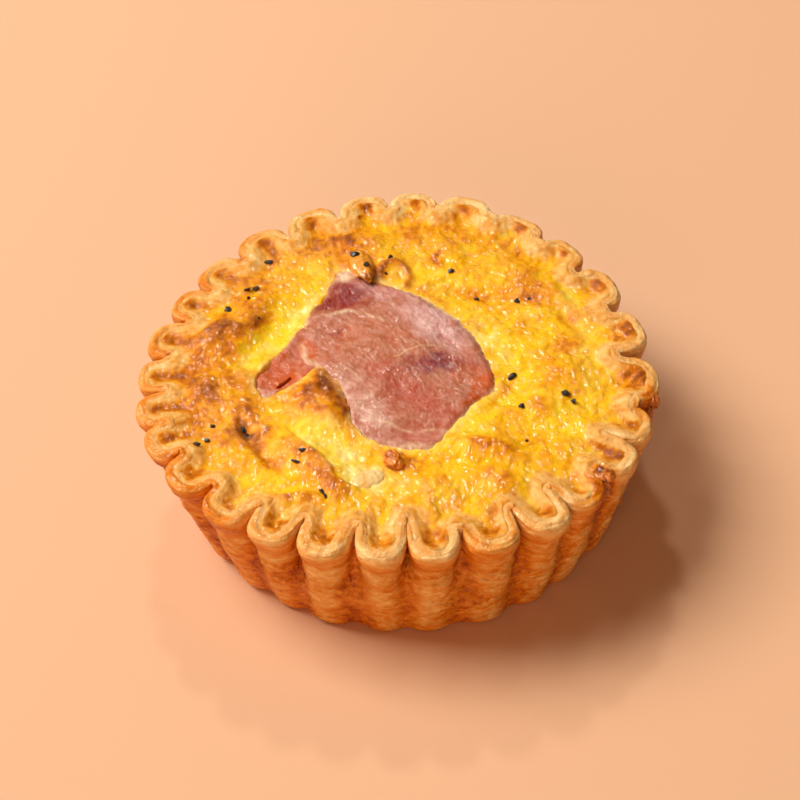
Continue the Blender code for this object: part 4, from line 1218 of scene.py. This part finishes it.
def make_ham(name, outline, middle, drop, toppings):
    """A sheet of ham: a square grid drawn out from its middle to a closed outline, thin at the
    edge, with fibres that run in arcs."""
    ring, turn = disc_grid(HAM_GRID)
    reach = ham_reach(outline, middle, turn)
    away = ring * reach
    flat = (np.asarray(middle) + np.stack([away * np.cos(turn), away * np.sin(turn)], axis=-1)) * MM
    x, y = flat[..., 0], flat[..., 1]
    gap = (1.0 - ring) * reach

    soft = in_cells(x, y, 6.0, 2.0)
    sway = layered(soft, 93, 2)
    front = smooth_step(-4.0, -13.0, (y + 0.3 * x) / MM)
    fibres, threads = 0.0, 0.0
    for heading, share in ((FIBRE_HEADINGS[0], 1.0 - front), (FIBRE_HEADINGS[1], front)):
        lean = np.radians(heading)
        across = (y * np.cos(lean) - x * np.sin(lean)) / MM + 1.3 * sway
        along = (x * np.cos(lean) + y * np.sin(lean)) / MM + 1.4 * noise(soft, 94)
        fibres = fibres + share * layered(spread(across * 1.3, along * 0.36, 1.0), 95, 3)
        threads = threads + share * smooth_step(0.12, 0.45, noise(spread(across * 2.3, along * 0.5, 5.0), 97))
    threads = threads * smooth_step(0.0, 0.5, noise(soft * 1.4, 98))
    wavy = strayed(x, y, 105, 2.5, 0.5)
    lines = [width - line_gap(*wavy, line) for width, line in zip(SINEW_WIDTHS, SINEWS)]
    cord = smooth_step(-0.4, 0.3, np.max(lines, axis=0)) * smooth_step(-0.6, 0.2, noise(soft * 2.5, 109))
    slit = smooth_step(0.5, 0.05, line_gap(*strayed(x, y, 111, 1.3, 0.22), SLIT))
    swellings = layered(soft, 99, 2)
    speckle = layered(in_cells(x, y, 1.1, 4.0), 103, 2)
    thin = smooth_step(2.2, 0.0, gap)
    curl = smooth_step(3.2, 0.4, gap) * (1.0 - thin) * noise(in_cells(x, y, 7.0, 8.0), 101)
    level = ham_level(x, y) + drop + MM * (0.05 * fibres + 0.36 * swellings + 0.03 * threads)
    level = level + MM * (0.10 * cord + 0.06 * speckle + 0.4 * curl - 0.75 * thin ** 1.5 - 0.7 * slit)
    under = np.concatenate([flat, (ham_level(x, y) + drop - HAM_THICKNESS)[..., None]], axis=-1)
    top = np.concatenate([flat, np.maximum(level, under[..., 2] + HAM_THINNEST)[..., None]], axis=-1)
    points, faces = close_sheet(HAM_GRID, top, under)
    piece = add_piece(name, points, faces, ham_material())

    tint = np.zeros((*x.shape, 3)) + np.array(toppings.ham_base)
    warp = strayed(x, y, 107, 3.4, 1.9)
    grain = smooth_step(-0.8, 0.4, fibres + 0.6 * speckle)
    for zone in HAM_ZONES:
        weight = 1.2 * ovals(*warp, (zone[:6],)) * (0.6 + 0.4 * grain)
        tint = toward(tint, getattr(toppings, "ham_" + zone[6]), weight)
    tint = toward(tint, toppings.ham_red, 0.32 * smooth_step(0.0, 0.8, -fibres - 0.6 * swellings))
    tint = toward(tint, toppings.ham_pale, 0.28 * smooth_step(0.0, 0.9, fibres + 0.5 * speckle))
    tint = toward(tint, toppings.ham_fat, 0.5 * cord + 0.18 * threads)
    # Paler thin edge: partly fat, partly painted light that evens out the shade along the edge.
    tint = toward(tint, toppings.ham_fat, 0.6 * smooth_step(1.3, 0.2, gap + 0.5 * swellings))
    tint = toward(tint, toppings.ham_crisp, smooth_step(1.8, 0.6, line_gap(x, y, SLIT)))
    tint = toward(tint, toppings.ham_deep, 0.9 * slit)
    set_values(piece, "tint", np.concatenate([tint.reshape(-1, 3), 0.0 * tint.reshape(-1, 3) + 0.4]))
    return piece


# ---- small toppings -------------------------------------------------------------------------
# Pepper: x, y, half length, half width (mm), heading (degrees).
PEPPER = (
    (-26.1, 29.5, 1.1, 0.6, 10), (-28.2, 21.8, 0.9, 0.7, 40), (-29.8, 21.0, 0.7, 0.35, 25),
    (-33.2, 15.6, 0.9, 0.8, 70), (-1.8, 29.4, 0.7, 0.5, 0), (10.1, 26.2, 0.7, 0.45, 0),
    (15.0, 19.4, 0.7, 0.5, -20), (23.0, 18.6, 0.6, 0.5, 0), (31.2, -7.4, 0.8, 0.6, 0),
    (32.6, -9.2, 0.6, 0.6, 45), (22.9, -10.6, 0.7, 0.6, -40), (21.3, -2.4, 1.1, 0.45, 45),
    (-17.7, -22.6, 0.7, 0.45, 0), (-19.0, -24.8, 0.8, 0.4, -10), (-37.5, -20.0, 0.9, 0.4, -10),
    (-35.4, -18.8, 0.6, 0.4, -30), (-34.6, -15.2, 0.6, 0.4, 0), (-14.0, -31.6, 0.8, 0.35, -50),
    (-29.4, 18.6, 0.5, 0.4, 0), (-27.2, 12.6, 0.4, 0.3, 30), (-29.1, -14.8, 0.8, 0.4, -62),
    (-28.3, -16.4, 0.6, 0.35, -62), (23.5, -18.8, 0.3, 0.25, 0), (25.3, 19.2, 0.35, 0.3, 0),
    (-2.6, 25.2, 0.3, 0.25, 0), (-13.4, -32.8, 0.6, 0.25, -60),
)
PEPPER_ON_KNOB = ((-8.8, 28.9, 1.2, 0.7, 20), (-6.5, 25.6, 0.7, 0.6, 60))
PEPPER_HEIGHT = 0.45 * MM
PEPPER_LIFT = 0.12 * MM         # height of a grain's middle over what it lies on


def surface_height(x, y, pieces):
    """Height of the highest of the pieces under a plan point, in metres, by a ray from above,
    or 3 mm under the filling's level if it is over none."""
    best = FILL_LEVEL - 3.0 * MM
    for piece in pieces:
        hit, place, _, _ = piece.ray_cast(Vector((x, y, 0.1)), Vector((0.0, 0.0, -1.0)))
        if hit:
            best = max(best, place.z)
    return best


def make_pepper(toppings, carriers):
    """All the pepper as one mesh: each grain is a chipped twelve-cornered flake, half sunk in
    what it lies on."""
    golden = 0.5 * (1.0 + 5.0 ** 0.5)
    pairs = [(first, second * golden) for first in (-1.0, 1.0) for second in (-1.0, 1.0)]
    corners = [(0.0, a, b) for a, b in pairs] + [(a, b, 0.0) for a, b in pairs]
    corners = np.array(corners + [(b, 0.0, a) for a, b in pairs]) / np.hypot(1.0, golden)
    reach = np.linalg.norm(corners[:, None] - corners[None, :], axis=-1)
    close = (reach > 0.1) & (reach < 1.2)
    triples = [(a, b, c) for a in range(12) for b in range(a + 1, 12) for c in range(b + 1, 12)
               if close[a, b] and close[b, c] and close[a, c]]
    faces = np.array(triples)
    first, second, third = (corners[faces[:, side]] for side in range(3))
    normal = np.cross(second - first, third - first)
    inward = np.sum(normal * first, axis=1) < 0.0
    faces[inward] = faces[inward][:, ::-1]
    rng = np.random.default_rng(17)
    shapes = []
    for x, y, length, width, heading in PEPPER + PEPPER_ON_KNOB:
        chipped = corners * rng.uniform(0.6, 1.55, (12, 1))
        shape = chipped * np.array((length, width, 0.5 * (PEPPER_HEIGHT / MM + width))) * MM
        east, north = turned(shape[:, 0], shape[:, 1], heading)
        height = surface_height(x * MM, y * MM, carriers) + PEPPER_LIFT
        spun = np.stack([east, north, shape[:, 2]], axis=1)
        shapes.append(spun + np.array((x * MM, y * MM, height)))
    offsets = 12 * np.arange(len(shapes))[:, None, None]
    piece = add_piece("pepper_grains", np.concatenate(shapes), [(faces[None] + offsets).reshape(-1, 3)],
                      pepper_material(toppings))
    piece.data.shade_flat()
    return piece


# Blobs: name, node replaced, slot, x, y, half sizes (mm), heading, lift (mm), roughness, seed.
MORSELS = (
    ("caramelised_knob", "caramelised_bit", "caramel", -7.4, 26.8, (4.6, 2.1, 1.1), 108, 0.0, 0.15, 3),
    ("bacon_crisp", "bacon_bit", "bacon", -1.1, -24.1, (2.3, 1.6, 1.2), -62, 0.0, 0.28, 7),
    ("onion_sliver", "onion_piece", "onion", -5.9, -28.3, (3.5, 2.2, 0.8), 25, 0.2, 0.08, 9),
)
MORSEL_COLOURS = {
    "caramelised_knob": ((228, 150, 26), (160, 86, 8), 260.0, 0.3, 0.0006),
    "bacon_crisp": ((220, 128, 22), (156, 72, 6), 420.0, 0.3, 0.0008),
    "onion_sliver": ((242, 206, 138), (236, 184, 98), 300.0, 0.4, 0.0014),
}
# Filling that boiled over the rim: x, y, z, half sizes (mm), heading.
OVERFLOW = (
    (37.2, -26.9, 27.0, 2.2, 1.6, 0.8, -36), (37.4, -28.2, 24.6, 1.2, 0.9, 2.6, -37),
    (47.6, -7.0, 25.4, 1.5, 1.2, 1.7, -10), (46.7, -8.2, 22.8, 1.3, 1.0, 2.6, -10),
)


def make_morsels():
    """The caramelised knob, bacon crisp and onion sliver: blobs of noise on the filling."""
    made = []
    for name, node, slot, x, y, half, heading, lift, roughness, seed in MORSELS:
        _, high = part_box(node)
        middle = np.array((x * MM, y * MM, high.z + (lift - half[2]) * MM))
        points, faces = lump(middle, np.array(half) * MM, heading, roughness, seed)
        light, dark, scale, gloss, depth = MORSEL_COLOURS[name]
        material = morsel_material(name + "_finish", linear(*light), linear(*dark), scale, gloss, depth)
        piece = add_piece(name, points, faces, material)
        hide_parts(node)
        made.append(piece)
    return made


def make_overflow():
    """Filling that boiled over the rim and baked on: two runs, each of two joined blobs."""
    material = morsel_material("boiled_over_finish", linear(204, 116, 34), linear(104, 40, 8),
                               600.0, 0.34, 0.0010)
    for name, parts in (("boiled_over_front", OVERFLOW[:2]), ("boiled_over_side", OVERFLOW[2:])):
        first, second = [lump(np.array(part[:3]) * MM, np.array(part[3:6]) * MM, part[6], 0.3, 20 + number)
                         for number, part in enumerate(parts)]
        points = np.concatenate([first[0], second[0]])
        faces = first[1] + [group + len(first[0]) for group in second[1]]
        add_piece(name, points, faces, material)


# ---- stage ----------------------------------------------------------------------------------
CAMERA_TARGET = (0.09 * MM, 17.6 * MM, 0.0)
CAMERA_DISTANCE = 485.0 * MM
CAMERA_ELEVATION = 46.2         # degrees above the table
CAMERA_SENSOR = 36.0            # width in mm
FLOOR_HALF = 6.0                # metres
# Lights: name, place, what it is aimed at, side, and its settings of power and colour.
LIGHTS = (
    ("key_light", (-0.95, 0.28, 1.22), (0.0, 0.0, 0.0), 0.85, "key_power", "key_colour"),
    ("fill_light", (-0.25, -1.1, 0.34), (0.0, 0.0, 0.02), 0.7, "fill_power", "world_colour"),
    ("sheen_light", (-0.12, 0.85, 0.95), (0.0, 0.0, 0.02), 0.09, "sheen_power", "key_colour"),
)


def aim(thing, target):
    """Turn an object's -Z towards a point."""
    way = Vector(target) - thing.location
    thing.rotation_euler = way.to_track_quat("-Z", "Y").to_euler()


def soft_light(name, place, target, side, power, colour):
    """Square area light."""
    data = bpy.data.lights.new(name, "AREA")
    data.shape = "SQUARE"
    data.size = side
    data.energy = power
    data.color = colour
    light = placed(name, data)
    light.location = place
    aim(light, target)


def make_stage(stage):
    """Plain floor, soft key light from the left, weak fill, a small light behind for the wet
    sheen, even world light and the camera."""
    corners = [(east * FLOOR_HALF, north * FLOOR_HALF, 0) for east, north in
               ((-1, -1), (1, -1), (1, 1), (-1, 1))]
    mesh = bpy.data.meshes.new("floor")
    mesh.from_pydata(corners, [], [(0, 1, 2, 3)])
    mesh.materials.append(floor_material(stage.floor_colour))
    floor = placed("floor", mesh)
    for name, place, target, side, power, colour in LIGHTS:
        soft_light(name, place, target, side, getattr(stage, power), getattr(stage, colour))
    world = bpy.data.worlds.new("even_light")
    world.use_nodes = True
    background = world.node_tree.nodes["Background"]
    background.inputs["Color"].default_value = (*stage.world_colour, 1.0)
    background.inputs["Strength"].default_value = stage.world_strength
    bpy.context.scene.world = world
    data = bpy.data.cameras.new("photo_camera")
    data.lens = stage.lens
    data.sensor_width = CAMERA_SENSOR
    data.sensor_fit = "HORIZONTAL"
    camera = placed("photo_camera", data)
    lean = np.radians(CAMERA_ELEVATION)
    away = Vector((0.0, -np.cos(lean), np.sin(lean))) * CAMERA_DISTANCE
    camera.location = Vector(CAMERA_TARGET) + away
    aim(camera, CAMERA_TARGET)
    bpy.context.scene.camera = camera
    bpy.context.scene.view_settings.view_transform = "Standard"
    bpy.context.scene.view_settings.look = "None"


# ---- operators ------------------------------------------------------------------------------
class QUICHE_OT_crust(bpy.types.Operator):
    """Build the fluted pastry case"""
    bl_idname = "quiche.crust"
    bl_label = "Pastry case"

    def execute(self, context):
        make_crust(context.scene.quiche_crust)
        return {"FINISHED"}


class QUICHE_OT_custard(bpy.types.Operator):
    """Build the baked egg filling"""
    bl_idname = "quiche.custard"
    bl_label = "Custard"

    def execute(self, context):
        make_custard(context.scene.quiche_custard, context.scene.quiche_crust)
        return {"FINISHED"}


class QUICHE_OT_ham(bpy.types.Operator):
    """Build the slice of ham and its tongue"""
    bl_idname = "quiche.ham"
    bl_label = "Ham"

    def execute(self, context):
        toppings = context.scene.quiche_toppings
        slice_ = make_ham("ham_slice_top", *HAM_PIECES[0], toppings)
        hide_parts("ham_slice")
        make_ham("ham_tongue", *HAM_PIECES[1], toppings)
        return {"FINISHED"}


class QUICHE_OT_toppings(bpy.types.Operator):
    """Build the caramelised knob, the bacon, the onion, the pepper and what boiled over"""
    bl_idname = "quiche.toppings"
    bl_label = "Small toppings"

    def execute(self, context):
        morsels = make_morsels()
        carriers = [bpy.data.objects[name] for name in ("custard", "ham_slice_top", "ham_tongue")]
        make_pepper(context.scene.quiche_toppings, carriers + morsels)
        make_overflow()
        return {"FINISHED"}


class QUICHE_OT_stage(bpy.types.Operator):
    """Set up the floor, the lights and the camera"""
    bl_idname = "quiche.stage"
    bl_label = "Stage"

    def execute(self, context):
        make_stage(context.scene.quiche_stage)
        return {"FINISHED"}


class QUICHE_PT_sidebar(bpy.types.Panel):
    bl_label = "Quiche Lorraine"
    bl_idname = "QUICHE_PT_sidebar"
    bl_space_type = "VIEW_3D"
    bl_region_type = "UI"
    bl_category = "Quiche"

    def draw(self, context):
        for operator in OPERATORS:
            self.layout.operator(operator.bl_idname)
        for group in SETTINGS:
            box = self.layout.box()
            settings = getattr(context.scene, group)
            for name in settings.bl_rna.properties.keys():
                if name not in ("rna_type", "name"):
                    box.prop(settings, name)


SETTINGS = {
    "quiche_crust": QUICHE_PG_crust,
    "quiche_custard": QUICHE_PG_custard,
    "quiche_toppings": QUICHE_PG_toppings,
    "quiche_stage": QUICHE_PG_stage,
}
OPERATORS = (QUICHE_OT_crust, QUICHE_OT_custard, QUICHE_OT_ham, QUICHE_OT_toppings, QUICHE_OT_stage)


def register():
    for group in SETTINGS.values():
        bpy.utils.register_class(group)
    for name, group in SETTINGS.items():
        setattr(bpy.types.Scene, name, PointerProperty(type=group))
    for operator in OPERATORS:
        bpy.utils.register_class(operator)
    bpy.utils.register_class(QUICHE_PT_sidebar)


def unregister():
    bpy.utils.unregister_class(QUICHE_PT_sidebar)
    for operator in reversed(OPERATORS):
        bpy.utils.unregister_class(operator)
    for name in SETTINGS:
        delattr(bpy.types.Scene, name)
    for group in reversed(tuple(SETTINGS.values())):
        bpy.utils.unregister_class(group)


def main():
    """Build every piece and the stage."""
    register()
    bpy.ops.quiche.crust()
    bpy.ops.quiche.custard()
    bpy.ops.quiche.ham()
    bpy.ops.quiche.toppings()
    bpy.ops.quiche.stage()


if __name__ == "__main__":
    main()
